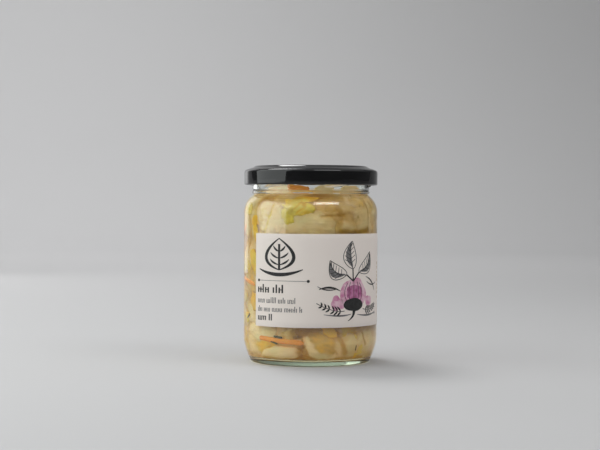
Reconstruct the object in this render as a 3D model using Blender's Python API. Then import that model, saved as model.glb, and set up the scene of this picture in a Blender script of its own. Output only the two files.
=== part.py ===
"""A sealed glass jar of white kimchi under a twist-off lid, with a paper label.

The model is in metres, +Z up. The origin is the middle of the jar's foot, on the surface it stands
on. Angles go round the jar in degrees from the front, which is -Y, towards the right, which is +X.
Lengths below are written in millimetres and turned into metres where the meshes are made.
"""

import math
import random

import bmesh
import bpy
from mathutils import Vector

MM = 0.001
FACETS = 44

# The glass, outside
BODY_RADIUS = 43.0
FOOT_INNER_RADIUS = 35.2
FOOT_OUTER_RADIUS = 37.6
FOOT_ROUND = (38.5, 0.6)
PUSH_UP = [(0.0, 2.2), (26.0, 1.7), (33.5, 0.9)]
HEEL_LOW = 2.0
HEEL_TOP = 15.0
HEEL_INSET = 3.9
HEEL_POWER = 1.4
HEEL_HEIGHTS = [HEEL_LOW, 4.5, 8.0, 11.5, HEEL_TOP]
SHOULDER_START = 96.0
SHOULDER_ROUND = 13.5
SHOULDER_SLOPE = 54.0
SHOULDER_HOLLOW = 0.8
INNER_HOLLOW = 2.4
NECK_RADIUS = 36.9
NECK_TOP = 109.2
BEAD_RISE = 0.8
FINISH_RADIUS = 37.8
RIM_HEIGHT = 123.2
RIM_OUTER_DROP = 1.2
RIM_INNER_DROP = 0.9
RIM_ROUND = 0.7

# The glass, inside
WALL = 2.7
NECK_WALL = 2.2
FLOOR = [(36.9, 5.6), (35.0, 4.3), (31.5, 4.0), (18.0, 5.0), (0.0, 5.4)]
INNER_HEEL_LOW = 8.4

# The six slanting threads round the glass finish, which the lid's lugs hook under
THREADS = 6
THREAD_STEPS = 9
THREAD_FIRST_ANGLE = -50.0
THREAD_SPAN = 57.0
THREAD_LOW = 112.0
THREAD_RISE = 6.2
THREAD_RADIUS = 39.2
THREAD_HALF_HEIGHT = 0.9
THREAD_TIP = 0.25
THREAD_FOOT_SPREAD = 1.3
THREAD_CREST_SPREAD = 0.5
THREAD_ROOT_DEPTH = 0.9

# The lid
LID_RADIUS = 43.0
LID_SHEET = 0.45
LID_BOTTOM = 113.4
LID_TOP = 125.8
LID_SKIRT_TOP = 121.4
LID_CORNER_ROUND = 2.0
CURL_RADIUS = 1.0
# The pressed shape of the top: a sunk middle, a flat ring, a raised rim and a step to the corner
LID_FACE = [
    (0.0, 124.65),
    (9.6, 124.75),
    (11.2, 125.2),
    (32.6, 125.25),
    (34.2, LID_TOP),
    (35.9, LID_TOP),
    (37.4, 124.75),
    (39.4, 124.1),
]
# The same sheet from below, with the flat that seals on the glass rim
SEAL_GAP = 0.3
LID_UNDERSIDE = [
    (39.2, 123.65),
    (38.2, RIM_HEIGHT + SEAL_GAP),
    (34.6, RIM_HEIGHT + SEAL_GAP),
    (33.2, 124.75),
    (11.3, 124.7),
    (9.7, 124.25),
    (0.0, 124.15),
]
LUG_STEPS = 3
LUG_START = 40.0
LUG_SPAN = 12.0
LUG_INNER_RADIUS = 38.35
LUG_LOW = 113.6
LUG_HIGH = 115.0
LUG_END_SETBACK = 0.9
LUG_NOSE_ROUND = 0.5

# The label
LABEL_LEFT = -52.7
LABEL_RIGHT = 228.0
LABEL_LOW = 24.8
LABEL_HIGH = 82.9
LABEL_GAP = 0.2
LABEL_PAPER = 0.15

# The kimchi: a core, and soft chunks and cut strips pressed against the wall round it
CLEARANCE = 0.35
NECK_CLEARANCE = 2.0
FILL_LOW = 6.3
FILL_HIGH = 113.0
CORE_INSET = 5.5
CORE_FACETS = 24
CORE_LOW = FILL_LOW + 0.2
CORE_HEIGHTS = [CORE_LOW, 9.0, 16.0, 56.0, 94.0, 99.0, 104.0, FILL_HIGH]
CORE_TOP = [(20.0, FILL_HIGH + 1.8), (0.0, FILL_HIGH + 1.2)]
CABBAGE_THICK = 6.0
LEAF_THICK = 3.0
CHUNK_TOP_LIMIT = FILL_HIGH + 3.0
CHUNK_CORNER_POWER = 0.72
CHUNK_FLAT = 1.2
CARROT_SIDE = 2.6
CARROT_STEPS = 6
CARROT_PRESS = 0.03
PRESS_STEP = 0.06
CHUNK_PRESSES = 9
CARROT_PRESSES = 3

# Chunks that show at the front: angle, height, wide, tall, thick, turn, tuck
FRONT_CHUNKS = [
    (-44, 90, 25, 27, CABBAGE_THICK, 8, 6),
    (-17, 96.5, 16, 15, LEAF_THICK, 25, 0),
    (1, 88, 33, 25, CABBAGE_THICK, -4, 7),
    (13, 102, 27, 12, CABBAGE_THICK, 4, 9),
    (35, 93, 21, 25, CABBAGE_THICK, -10, 5),
    (58, 92, 25, 27, CABBAGE_THICK, 6, 8),
    (50, 84.5, 25, 8, LEAF_THICK, 3, 0),
    (-52, 17, 30, 18, CABBAGE_THICK, -5, 8),
    (-28, 10.5, 27, 10, CABBAGE_THICK, 3, 0),
    (-18, 22, 14, 7, LEAF_THICK, 12, 0),
    (12, 14.5, 29, 19, CABBAGE_THICK, -14, 3),
    (50, 14.5, 36, 21, CABBAGE_THICK, 5, 6),
    (20, 22, 9, 7, LEAF_THICK, 0, 0),
]

# Carrot strips: start and end, each an angle and a height
CARROTS = [
    ((-53, 17.2), (-6, 15.1)),
    ((-30, 111.8), (-2, 112.4)),
    ((-84, 52), (-62, 48)),
    ((-104, 76), (-76, 88)),
    ((-128, 38), (-100, 27)),
    ((105, 93), (140, 97)),
    ((172, 12), (206, 15)),
    ((196, 90), (224, 84)),
]

# Rows of chunks that fill the rest of the wall: height, first and last angle, count, wide, tall
CHUNK_ROWS = [
    (15, 96, 300, 6, 36, 21),
    (35, 240, 304, 2, 34, 20),
    (54, 238, 300, 2, 36, 22),
    (73, 240, 304, 2, 34, 20),
    (92, 92, 294, 6, 36, 25),
    (109, -20, 290, 6, 32, 13),
]
CHUNK_SEED = 11
ANGLE_SCATTER = 3.0
HEIGHT_SCATTER = 1.5
SIZE_SCATTER = (0.85, 1.12)
THICK_SCATTER = (0.8, 1.1)
TURN_SCATTER = 16.0
TUCK_SCATTER = (2.0, 9.0)


def on_jar(radius, angle, height):
    """The point at this radius, angle and height round the jar, in metres."""
    turn = math.radians(angle)
    return Vector((radius * math.sin(turn), -radius * math.cos(turn), height)) * MM


def arc(centre, radius, start, end, steps):
    """Points of an outline along an arc, from one angle to another, both included."""
    angles = [math.radians(start + (end - start) * i / steps) for i in range(steps + 1)]
    return [(centre[0] + radius * math.cos(a), centre[1] + radius * math.sin(a)) for a in angles]


def heel_radius(height):
    """The body's outer radius, which narrows towards the foot below HEEL_TOP."""
    share = max(0.0, (HEEL_TOP - height) / (HEEL_TOP - HEEL_LOW))
    return BODY_RADIUS - HEEL_INSET * share**HEEL_POWER


def shoulder(neck_radius, size, hollow):
    """The shoulder: a round start of this size, a straight slope and a hollow round into the neck."""
    lean = math.radians(SHOULDER_SLOPE)
    convex = arc((BODY_RADIUS - SHOULDER_ROUND, SHOULDER_START), size, 0, SHOULDER_SLOPE, 4)
    hollow_start = neck_radius + hollow * (1 - math.cos(lean))
    slope_end = convex[-1][1] + (convex[-1][0] - hollow_start) / math.tan(lean)
    hollow_middle = (neck_radius + hollow, slope_end + hollow * math.sin(lean))
    return convex + arc(hollow_middle, hollow, 180 + SHOULDER_SLOPE, 180, 1)


def glass_outside():
    """The jar's outer outline, from the middle of the foot up to the rim."""
    foot = PUSH_UP + [(FOOT_INNER_RADIUS, 0), (FOOT_OUTER_RADIUS, 0), FOOT_ROUND]
    heel = [(heel_radius(height), height) for height in HEEL_HEIGHTS]
    neck = shoulder(NECK_RADIUS, SHOULDER_ROUND, SHOULDER_HOLLOW)
    bead = [
        (NECK_RADIUS, NECK_TOP),
        (FINISH_RADIUS, NECK_TOP + BEAD_RISE),
        (FINISH_RADIUS, RIM_HEIGHT - RIM_OUTER_DROP),
    ]
    return foot + heel + neck + bead


def glass_inside():
    """The jar's inner outline, from the rim down to the middle of the floor."""
    mouth_radius = FINISH_RADIUS - NECK_WALL
    rim = [
        (FINISH_RADIUS - RIM_ROUND, RIM_HEIGHT),
        (mouth_radius + RIM_ROUND, RIM_HEIGHT),
        (mouth_radius, RIM_HEIGHT - RIM_INNER_DROP),
    ]
    neck = shoulder(mouth_radius - BEAD_RISE, SHOULDER_ROUND - WALL, INNER_HOLLOW)
    heel = [(heel_radius(z) - WALL, z) for z in (HEEL_TOP, HEEL_HEIGHTS[-2], INNER_HEEL_LOW)]
    return rim + neck[::-1] + heel + FLOOR


def inner_radius(height):
    """The radius of the jar's inner wall at this height."""
    wall = sorted((z, radius) for radius, z in glass_inside()[:-2])
    for (low, below), (high, above) in zip(wall, wall[1:]):
        if low < high and low <= height <= high:
            return below + (above - below) * (height - low) / (high - low)
    return wall[0][1] if height < wall[0][0] else wall[-1][1]


def finish(name, colour, roughness, alpha=1.0):
    """A plain material for the solid."""
    material = bpy.data.materials.new(name)
    material.use_nodes = True
    shader = material.node_tree.nodes["Principled BSDF"]
    shader.inputs["Base Color"].default_value = (*colour, 1)
    shader.inputs["Roughness"].default_value = roughness
    shader.inputs["Alpha"].default_value = alpha
    return material


def solid(name, maker, material=None):
    """A named object from a bmesh, with its faces pointing out."""
    bmesh.ops.recalc_face_normals(maker, faces=maker.faces[:])
    mesh = bpy.data.meshes.new(name)
    maker.to_mesh(mesh)
    maker.free()
    if material:
        mesh.materials.append(material)
    made = bpy.data.objects.new(name, mesh)
    bpy.context.scene.collection.objects.link(made)
    return made


def turned(name, outline, facets, material):
    """The outline of (radius, height) points, turned once round the jar's axis."""
    maker = bmesh.new()
    points = [maker.verts.new(on_jar(radius, 0, height)) for radius, height in outline]
    for first, second in zip(points, points[1:]):
        maker.edges.new((first, second))
    bmesh.ops.spin(
        maker,
        geom=maker.verts[:] + maker.edges[:],
        cent=(0, 0, 0),
        axis=(0, 0, 1),
        angle=math.tau,
        steps=facets,
        use_merge=True,
    )
    bmesh.ops.remove_doubles(maker, verts=maker.verts[:], dist=0.001 * MM)
    return solid(name, maker, material)


def shade(made, sharp_angle=35):
    """Smooth shading, apart from edges sharper than this."""
    made.data.shade_smooth()
    made.data.set_sharp_from_angle(angle=math.radians(sharp_angle))


def fuse(target, pieces):
    """Joins the pieces to the target with one Boolean union, and removes them."""
    group = bpy.data.collections.new(target.name + "_pieces")
    bpy.context.scene.collection.children.link(group)
    for piece in pieces:
        bpy.context.scene.collection.objects.unlink(piece)
        group.objects.link(piece)
    union = target.modifiers.new("fuse", "BOOLEAN")
    union.operation = "UNION"
    union.operand_type = "COLLECTION"
    union.collection = group
    union.solver = "EXACT"
    bpy.context.view_layer.update()
    evaluated = target.evaluated_get(bpy.context.evaluated_depsgraph_get())
    joined = bpy.data.meshes.new_from_object(evaluated)
    target.modifiers.clear()
    target.data = joined
    for piece in pieces:
        bpy.data.objects.remove(piece)
    bpy.data.collections.remove(group)


def keep_largest_shell(made):
    """Leaves only the shell with the most points, which fills sealed hollows and drops loose scraps."""
    maker = bmesh.new()
    maker.from_mesh(made.data)
    unseen = set(maker.verts)
    shells = []
    while unseen:
        shell = set()
        edge_of_shell = [unseen.pop()]
        while edge_of_shell:
            vert = edge_of_shell.pop()
            shell.add(vert)
            near = {edge.other_vert(vert) for edge in vert.link_edges} & unseen
            unseen -= near
            edge_of_shell.extend(near)
        shells.append(shell)
    shells.sort(key=len)
    spare = [vert for shell in shells[:-1] for vert in shell]
    bmesh.ops.delete(maker, geom=spare, context="VERTS")
    maker.to_mesh(made.data)
    maker.free()


def ridge(name, rings):
    """A closed bar through rings of corner points, with flat ends."""
    maker = bmesh.new()
    made = [[maker.verts.new(point) for point in ring] for ring in rings]
    count = len(rings[0])
    for first, second in zip(made, made[1:]):
        for i in range(count):
            j = (i + 1) % count
            maker.faces.new((first[i], first[j], second[j], second[i]))
    maker.faces.new(made[0][::-1])
    maker.faces.new(made[-1])
    return solid(name, maker)


def thread(number):
    """One slanting thread on the glass finish, thin at both ends."""
    start = THREAD_FIRST_ANGLE + number * 360 / THREADS
    root = FINISH_RADIUS - THREAD_ROOT_DEPTH
    rings = []
    for i in range(THREAD_STEPS + 1):
        along = i / THREAD_STEPS
        full = min(1.0, THREAD_TIP + 4 * along, THREAD_TIP + 4 * (1 - along))
        angle = start + THREAD_SPAN * along
        height = THREAD_LOW + THREAD_RISE * along
        crest = FINISH_RADIUS + (THREAD_RADIUS - FINISH_RADIUS) * full
        foot_half = THREAD_HALF_HEIGHT * THREAD_FOOT_SPREAD * full
        crest_half = THREAD_HALF_HEIGHT * THREAD_CREST_SPREAD * full
        rings.append(
            [
                on_jar(root, angle, height - foot_half),
                on_jar(FINISH_RADIUS, angle, height - foot_half),
                on_jar(crest, angle, height - crest_half),
                on_jar(crest, angle, height + crest_half),
                on_jar(FINISH_RADIUS, angle, height + foot_half),
                on_jar(root, angle, height + foot_half),
            ]
        )
    return ridge(f"thread_{number}", rings)


def make_jar():
    """The glass jar: one wall from the push-up in its foot to the rim, with threads on its finish."""
    material = finish("glass", (0.86, 0.93, 0.88), 0.03, alpha=0.35)
    jar = turned("jar_glass", glass_outside() + glass_inside(), FACETS, material)
    fuse(jar, [thread(number) for number in range(THREADS)])
    shade(jar)


def lid_outline():
    """The lid's closed outline: over the top and down the skirt, round the curl, and back inside."""
    corner = arc((LID_RADIUS - LID_CORNER_ROUND, LID_SKIRT_TOP), LID_CORNER_ROUND, 62, 0, 3)
    curl = arc((LID_RADIUS - CURL_RADIUS, LID_BOTTOM + CURL_RADIUS), CURL_RADIUS, 0, -180, 6)
    inner_skirt = LID_RADIUS - LID_SHEET
    back_inside = [
        (LID_RADIUS - 1.6 * CURL_RADIUS, LID_BOTTOM + 2.1 * CURL_RADIUS),
        (inner_skirt, LID_BOTTOM + 2.7 * CURL_RADIUS),
        (inner_skirt, LID_SKIRT_TOP),
        (LID_RADIUS - 1.2, LID_SKIRT_TOP + 1.35),
    ]
    return LID_FACE + corner + curl + back_inside + LID_UNDERSIDE


def lug(number):
    """One lug pressed in from the lid's curl, under a thread of the glass."""
    start = THREAD_FIRST_ANGLE + number * 360 / THREADS + LUG_START
    root = LID_RADIUS - CURL_RADIUS
    rings = []
    for i in range(LUG_STEPS + 1):
        angle = start + LUG_SPAN * i / LUG_STEPS
        nose = LUG_INNER_RADIUS + (LUG_END_SETBACK if i in (0, LUG_STEPS) else 0.0)
        rings.append(
            [
                on_jar(root, angle, LUG_LOW + 0.2),
                on_jar(root, angle, LUG_HIGH),
                on_jar(nose + LUG_NOSE_ROUND, angle, LUG_HIGH),
                on_jar(nose, angle, (LUG_LOW + LUG_HIGH) / 2),
                on_jar(nose + LUG_NOSE_ROUND, angle, LUG_LOW),
            ]
        )
    return ridge(f"lug_{number}", rings)


def make_lid():
    """The pressed steel lid, lacquered black, with its curled edge and six lugs."""
    material = finish("lid_lacquer", (0.012, 0.012, 0.013), 0.22)
    lid = turned("lid", lid_outline(), FACETS, material)
    fuse(lid, [lug(number) for number in range(THREADS)])
    shade(lid)


def make_label():
    """The paper label, wrapped round the body up to an open window on the left."""
    step = 360 / FACETS
    first = math.ceil(LABEL_LEFT / step)
    last = math.floor(LABEL_RIGHT / step)
    angles = [LABEL_LEFT] + [step * i for i in range(first, last + 1)] + [LABEL_RIGHT]
    inner = BODY_RADIUS + LABEL_GAP
    outer = inner + LABEL_PAPER
    rings = [
        [
            on_jar(inner, angle, LABEL_LOW),
            on_jar(inner, angle, LABEL_HIGH),
            on_jar(outer, angle, LABEL_HIGH),
            on_jar(outer, angle, LABEL_LOW),
        ]
        for angle in angles
    ]
    label = ridge("label", rings)
    label.data.materials.append(finish("label_paper", (0.78, 0.76, 0.72), 0.6))


def fill_radius(height):
    """How far out the kimchi reaches at this height, clear of the glass there and just above."""
    return min(inner_radius(height), inner_radius(height + NECK_CLEARANCE)) - CLEARANCE


def pressed(name, place, press):
    """A soft chunk pressed against the glass.

    It is a rounded slab, turned in the plane of the wall, with one edge tucked inwards, and no point
    of it reaches past the wall less its own press distance.
    """
    angle, height, wide, tall, thick, turn, tuck = place
    maker = bmesh.new()
    bmesh.ops.create_icosphere(maker, subdivisions=2, radius=1)
    spin = math.radians(turn)
    lean = math.tan(math.radians(tuck))
    for vert in maker.verts:
        x, y, z = (math.copysign(abs(value) ** CHUNK_CORNER_POWER, value) for value in vert.co)
        across = wide / 2 * x
        along = tall / 2 * y
        side = across * math.cos(spin) - along * math.sin(spin)
        up = across * math.sin(spin) + along * math.cos(spin)
        level = min(max(height + up, FILL_LOW), CHUNK_TOP_LIMIT)
        limit = fill_radius(level) - press
        depth = thick / 2 * (1 - z) + lean * (across + wide / 2)
        radius = min(limit, limit + CHUNK_FLAT - depth)
        vert.co = on_jar(radius, angle + math.degrees(side / limit), level)
    return solid(name, maker)


def strip(name, start, end, press):
    """A cut strip of carrot that follows the wall from one (angle, height) to another."""
    half = CARROT_SIDE / 2
    rings = []
    for i in range(CARROT_STEPS + 1):
        along = i / CARROT_STEPS
        angle = start[0] + (end[0] - start[0]) * along
        height = start[1] + (end[1] - start[1]) * along
        outer = min(fill_radius(height - half), fill_radius(height + half)) - press
        rings.append(
            [
                on_jar(outer - CARROT_SIDE, angle, height - half),
                on_jar(outer, angle, height - half),
                on_jar(outer, angle, height + half),
                on_jar(outer - CARROT_SIDE, angle, height + half),
            ]
        )
    return ridge(name, rings)


def scattered_places():
    """The rows of chunks round the back, each moved, sized and turned a little differently."""
    draw = random.Random(CHUNK_SEED)
    places = []
    for height, first, last, count, wide, tall in CHUNK_ROWS:
        for i in range(count):
            angle = first + (last - first) * i / (count - 1) + draw.uniform(-ANGLE_SCATTER, ANGLE_SCATTER)
            level = height + draw.uniform(-HEIGHT_SCATTER, HEIGHT_SCATTER)
            size = draw.uniform(*SIZE_SCATTER)
            thick = CABBAGE_THICK * draw.uniform(*THICK_SCATTER)
            turn = draw.uniform(-TURN_SCATTER, TURN_SCATTER)
            tuck = draw.uniform(*TUCK_SCATTER)
            places.append((angle, level, wide * size, tall * size, thick, turn, tuck))
    return places


def kimchi_pieces():
    """Every chunk and strip at the wall: the placed ones, the rows round the back, and the carrots.

    Each is pressed in by a slightly different distance, so that no two faces lie in one surface.
    """
    chunks = [
        pressed(f"chunk_{number}", place, PRESS_STEP * (number % CHUNK_PRESSES))
        for number, place in enumerate(FRONT_CHUNKS + scattered_places())
    ]
    carrots = [
        strip(f"carrot_{number}", start, end, CARROT_PRESS + PRESS_STEP * (number % CARROT_PRESSES))
        for number, (start, end) in enumerate(CARROTS)
    ]
    return chunks + carrots


def make_kimchi():
    """The packed kimchi: a core with the pieces that show against the glass fused to it."""
    side = [(fill_radius(height) - CORE_INSET, height) for height in CORE_HEIGHTS]
    material = finish("kimchi", (0.62, 0.52, 0.3), 0.45)
    heap = turned("kimchi", [(0, CORE_LOW)] + side + CORE_TOP, CORE_FACETS, material)
    fuse(heap, kimchi_pieces())
    keep_largest_shell(heap)


def main():
    for old in list(bpy.data.objects):
        bpy.data.objects.remove(old)
    make_jar()
    make_kimchi()
    make_label()
    make_lid()


main()
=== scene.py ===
"""The looks of the jar of white kimchi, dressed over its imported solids.

The model is in metres, +Z up, with its origin in the middle of the jar's foot. Angles go round the
jar in degrees from the front, which is -Y, towards the right, which is +X. Lengths are written in
millimetres and turned into metres where the meshes are made.
"""

import math
import random
from dataclasses import dataclass

import bmesh
import bpy
from mathutils import Euler, Matrix, Vector, noise


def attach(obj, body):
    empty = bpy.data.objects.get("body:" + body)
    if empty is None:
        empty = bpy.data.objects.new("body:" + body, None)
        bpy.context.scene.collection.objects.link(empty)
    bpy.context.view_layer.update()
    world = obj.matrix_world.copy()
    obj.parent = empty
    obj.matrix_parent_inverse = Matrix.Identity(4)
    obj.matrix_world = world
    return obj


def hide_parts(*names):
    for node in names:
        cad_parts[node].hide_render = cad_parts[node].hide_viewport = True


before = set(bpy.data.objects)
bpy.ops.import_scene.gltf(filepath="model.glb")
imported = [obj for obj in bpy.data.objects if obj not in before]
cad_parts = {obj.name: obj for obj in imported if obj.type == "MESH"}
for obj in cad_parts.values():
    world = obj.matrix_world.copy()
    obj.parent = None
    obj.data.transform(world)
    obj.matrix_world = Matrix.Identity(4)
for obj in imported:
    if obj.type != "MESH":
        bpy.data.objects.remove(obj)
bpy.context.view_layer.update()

MM = 0.001
SEGMENTS = 176

# The glass
BODY_RADIUS = 43.0
PUSH_UP = [(0.0, 2.2), (26.0, 1.7), (33.5, 0.9)]
FOOT = [(35.2, 0.0), (37.6, 0.0)]
HEEL_LOW = 2.0
HEEL_TOP = 15.0
HEEL_INSET = 3.9
HEEL_POWER = 1.4
SHOULDER_START = 96.0
SHOULDER_ROUND = 13.5
SHOULDER_SLOPE = 54.0
SHOULDER_HOLLOW = 0.8
INNER_HOLLOW = 2.4
NECK_RADIUS = 36.9
NECK_TOP = 109.2
BEAD_RISE = 0.8
BEAD_RADIUS = 38.0
FINISH_RADIUS = 37.8
RIM_HEIGHT = 123.2
RIM_ROUND = 0.7
WALL = 2.7
NECK_WALL = 2.2
FLOOR = [(36.6, 4.7), (34.5, 3.9), (31.0, 3.8), (18.0, 4.8), (0.0, 5.2)]

# The slanting threads on the glass, and the lid that hooks under them
THREADS = 6
THREAD_FIRST_ANGLE = -50.0
THREAD_SPAN = 57.0
THREAD_LOW = 112.0
THREAD_RISE = 6.2
THREAD_STAND = 1.4
THREAD_HALF_HEIGHT = 1.25
LID_RADIUS = 43.0
LID_SHEET = 0.45
LID_BOTTOM = 113.4
LID_TOP = 125.8
LID_SKIRT_TOP = 121.4
LID_CORNER_ROUND = 2.0
CURL_RADIUS = 1.0
LUG_START = 40.0
LUG_SPAN = 12.0
LUG_INNER_RADIUS = 38.35
LUG_LOW = 114.3
LUG_HIGH = 115.2

# The label
LABEL_LEFT = -52.7
LABEL_RIGHT = 228.0
LABEL_LOW = 24.8
LABEL_HIGH = 82.9
LABEL_INNER = 43.08
LABEL_OUTER = 43.24
INK_STEP = 1.5

# The kimchi and its brine
CLEARANCE = 0.35
FILL_LOW = 4.6
CORE_FOOT = 5.7
FILL_HIGH = 113.0
CORE_INSET = 1.7
CORE_TOP = 108.0
NECK_DROP = 6.5
WALL_RADIUS = 40.0
BRINE_REACH = 0.3
BRINE_LEVEL = 107.0
CHUNK_POWER = 2.1
LEAF_YELLOW = (0.78, 0.68, 0.15)
LEAF_GOLD = (0.86, 0.56, 0.08)
DARK_LEAF_AND_SHADE = (0.13, 0.085, 0.025)
PAINTED_GLOW = 0.22
LINING_PAINTED_GLOW = 0.3
CHUNK_FLAT = 0.25
CONTACT_SOFTNESS = 0.75

SHARP_EDGE = math.radians(50)

# The camera, in metres and degrees, and what the panels face
CAMERA_LENS = 85.34
CAMERA_PLACE = (-0.0069, -0.920, 0.1021)
CAMERA_DOWN = 0.895
CAMERA_ROLL = 0.31
JAR_MIDDLE = Vector((0.0, 0.0, 0.07))


# Materials


class Wire:
    """A number or colour that varies over a surface. Operators on a number add Math nodes."""

    def __init__(self, finish, socket):
        self.finish = finish
        self.socket = socket

    def math(self, operation, *values):
        return self.finish.node("ShaderNodeMath", {"operation": operation}, dict(enumerate(values)))

    def __add__(self, other):
        return self.math("ADD", self, other)

    def __radd__(self, other):
        return self.math("ADD", other, self)

    def __sub__(self, other):
        return self.math("SUBTRACT", self, other)

    def __rsub__(self, other):
        return self.math("SUBTRACT", other, self)

    def __mul__(self, other):
        return self.math("MULTIPLY", self, other)

    def __rmul__(self, other):
        return self.math("MULTIPLY", other, self)

    def between(self, low, high):
        """0 below low and 1 above high, with a smooth step in between."""
        values = {"Value": self, "From Min": low, "From Max": high}
        return self.finish.node("ShaderNodeMapRange", {"interpolation_type": "SMOOTHSTEP"}, values)


class Finish:
    """A node tree being built for a material or the world."""

    def __init__(self, owner):
        owner.use_nodes = True
        self.owner = owner
        self.tree = owner.node_tree
        self.tree.nodes.clear()

    def node(self, kind, settings=(), values=(), out=0):
        """Adds a node, with its settings first and then the values or links of its sockets."""
        made = self.tree.nodes.new(kind)
        for name, setting in dict(settings).items():
            setattr(made, name, setting)
        for name, value in dict(values).items():
            socket = made.inputs[name]
            if isinstance(value, Wire):
                self.tree.links.new(value.socket, socket)
            else:
                socket.default_value = (*value, 1.0) if socket.type == "RGBA" else value
        return Wire(self, made.outputs[out]) if len(made.outputs) else made

    def place(self):
        """The point on the surface, in metres in the jar's frame."""
        return self.node("ShaderNodeTexCoord", out="Object")

    def scaled(self, vector, scale):
        return self.node("ShaderNodeVectorMath", {"operation": "MULTIPLY"}, {0: vector, 1: scale})

    def cloud(self, vector, scale, detail=2.0, roughness=0.5):
        """Soft noise from 0 to 1, with scale in features to a metre of the vector."""
        values = {"Vector": vector, "Scale": scale, "Detail": detail, "Roughness": roughness}
        return self.node("ShaderNodeTexNoise", {}, values)

    def mixed(self, share, first, second, mode="MIX"):
        """The first colour, with this share of the second mixed in."""
        settings = {"data_type": "RGBA", "blend_type": mode}
        return self.node("ShaderNodeMix", settings, {0: share, 6: first, 7: second}, out=2)

    def bump(self, height, distance, strength=1.0):
        values = {"Height": height, "Distance": distance, "Strength": strength}
        return self.node("ShaderNodeBump", {}, values)

    def principled(self, values):
        return self.node("ShaderNodeBsdfPrincipled", {}, values)

    def show(self, shader, volume=None):
        """Puts the shader on the material, which is then done."""
        values = {"Surface": shader}
        if volume:
            values["Volume"] = volume
        self.node("ShaderNodeOutputMaterial", {}, values)
        return self.owner

    def skin(self, values):
        return self.show(self.principled(values))

    def split(self, vector):
        """The X, Y and Z of a vector."""
        parts = self.node("ShaderNodeSeparateXYZ", {}, {0: vector}).socket.node.outputs
        return [Wire(self, part) for part in parts]

    def lamps_through(self, shader, tint):
        """The shader for what is seen, and a clear tint for the light that passes to what is inside."""
        shadow = self.node("ShaderNodeLightPath", out="Is Shadow Ray")
        clear = self.node("ShaderNodeBsdfTransparent", {}, {"Color": tint})
        return self.node("ShaderNodeMixShader", {}, {0: shadow, 1: shader, 2: clear})


def toned(base, red, green, blue):
    """The base colour with its red, green and blue multiplied by these."""
    return tuple(min(1.0, value * factor) for value, factor in zip(base, (red, green, blue)))


def new_finish(name):
    return Finish(bpy.data.materials.new(name))


def glass_finish():
    made = new_finish("jar glass")
    place = made.place()
    ripple = made.cloud(made.scaled(place, (1.0, 1.0, 0.35)), 55.0, 1.0)
    seeds = made.cloud(place, 420.0, 2.0)
    glass = made.principled(
        {
            "Base Color": (0.985, 1.0, 0.99),
            "Roughness": seeds.between(0.45, 0.85) * 0.02,
            "IOR": 1.5,
            "Transmission Weight": 1.0,
            "Normal": made.bump(ripple, 0.0004, 0.07),
        }
    )
    green = made.node("ShaderNodeVolumeAbsorption", {}, {"Color": (0.55, 0.86, 0.46), "Density": 9.0})
    return made.show(made.lamps_through(glass, (0.985, 1.0, 0.98)), green)


def brine_finish():
    made = new_finish("kimchi brine")
    ripple = made.cloud(made.place(), 120.0, 1.0)
    liquid = made.principled(
        {
            "Base Color": (1.0, 1.0, 1.0),
            "Roughness": 0.0,
            "IOR": 1.34,
            "Transmission Weight": 1.0,
            "Normal": made.bump(ripple, 0.0001, 0.2),
        }
    )
    amber = made.node(
        "ShaderNodeVolumeAbsorption", {}, {"Color": (0.88, 0.67, 0.22), "Density": 165.0}
    )
    return made.show(made.lamps_through(liquid, (1.0, 1.0, 1.0)), amber)


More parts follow.
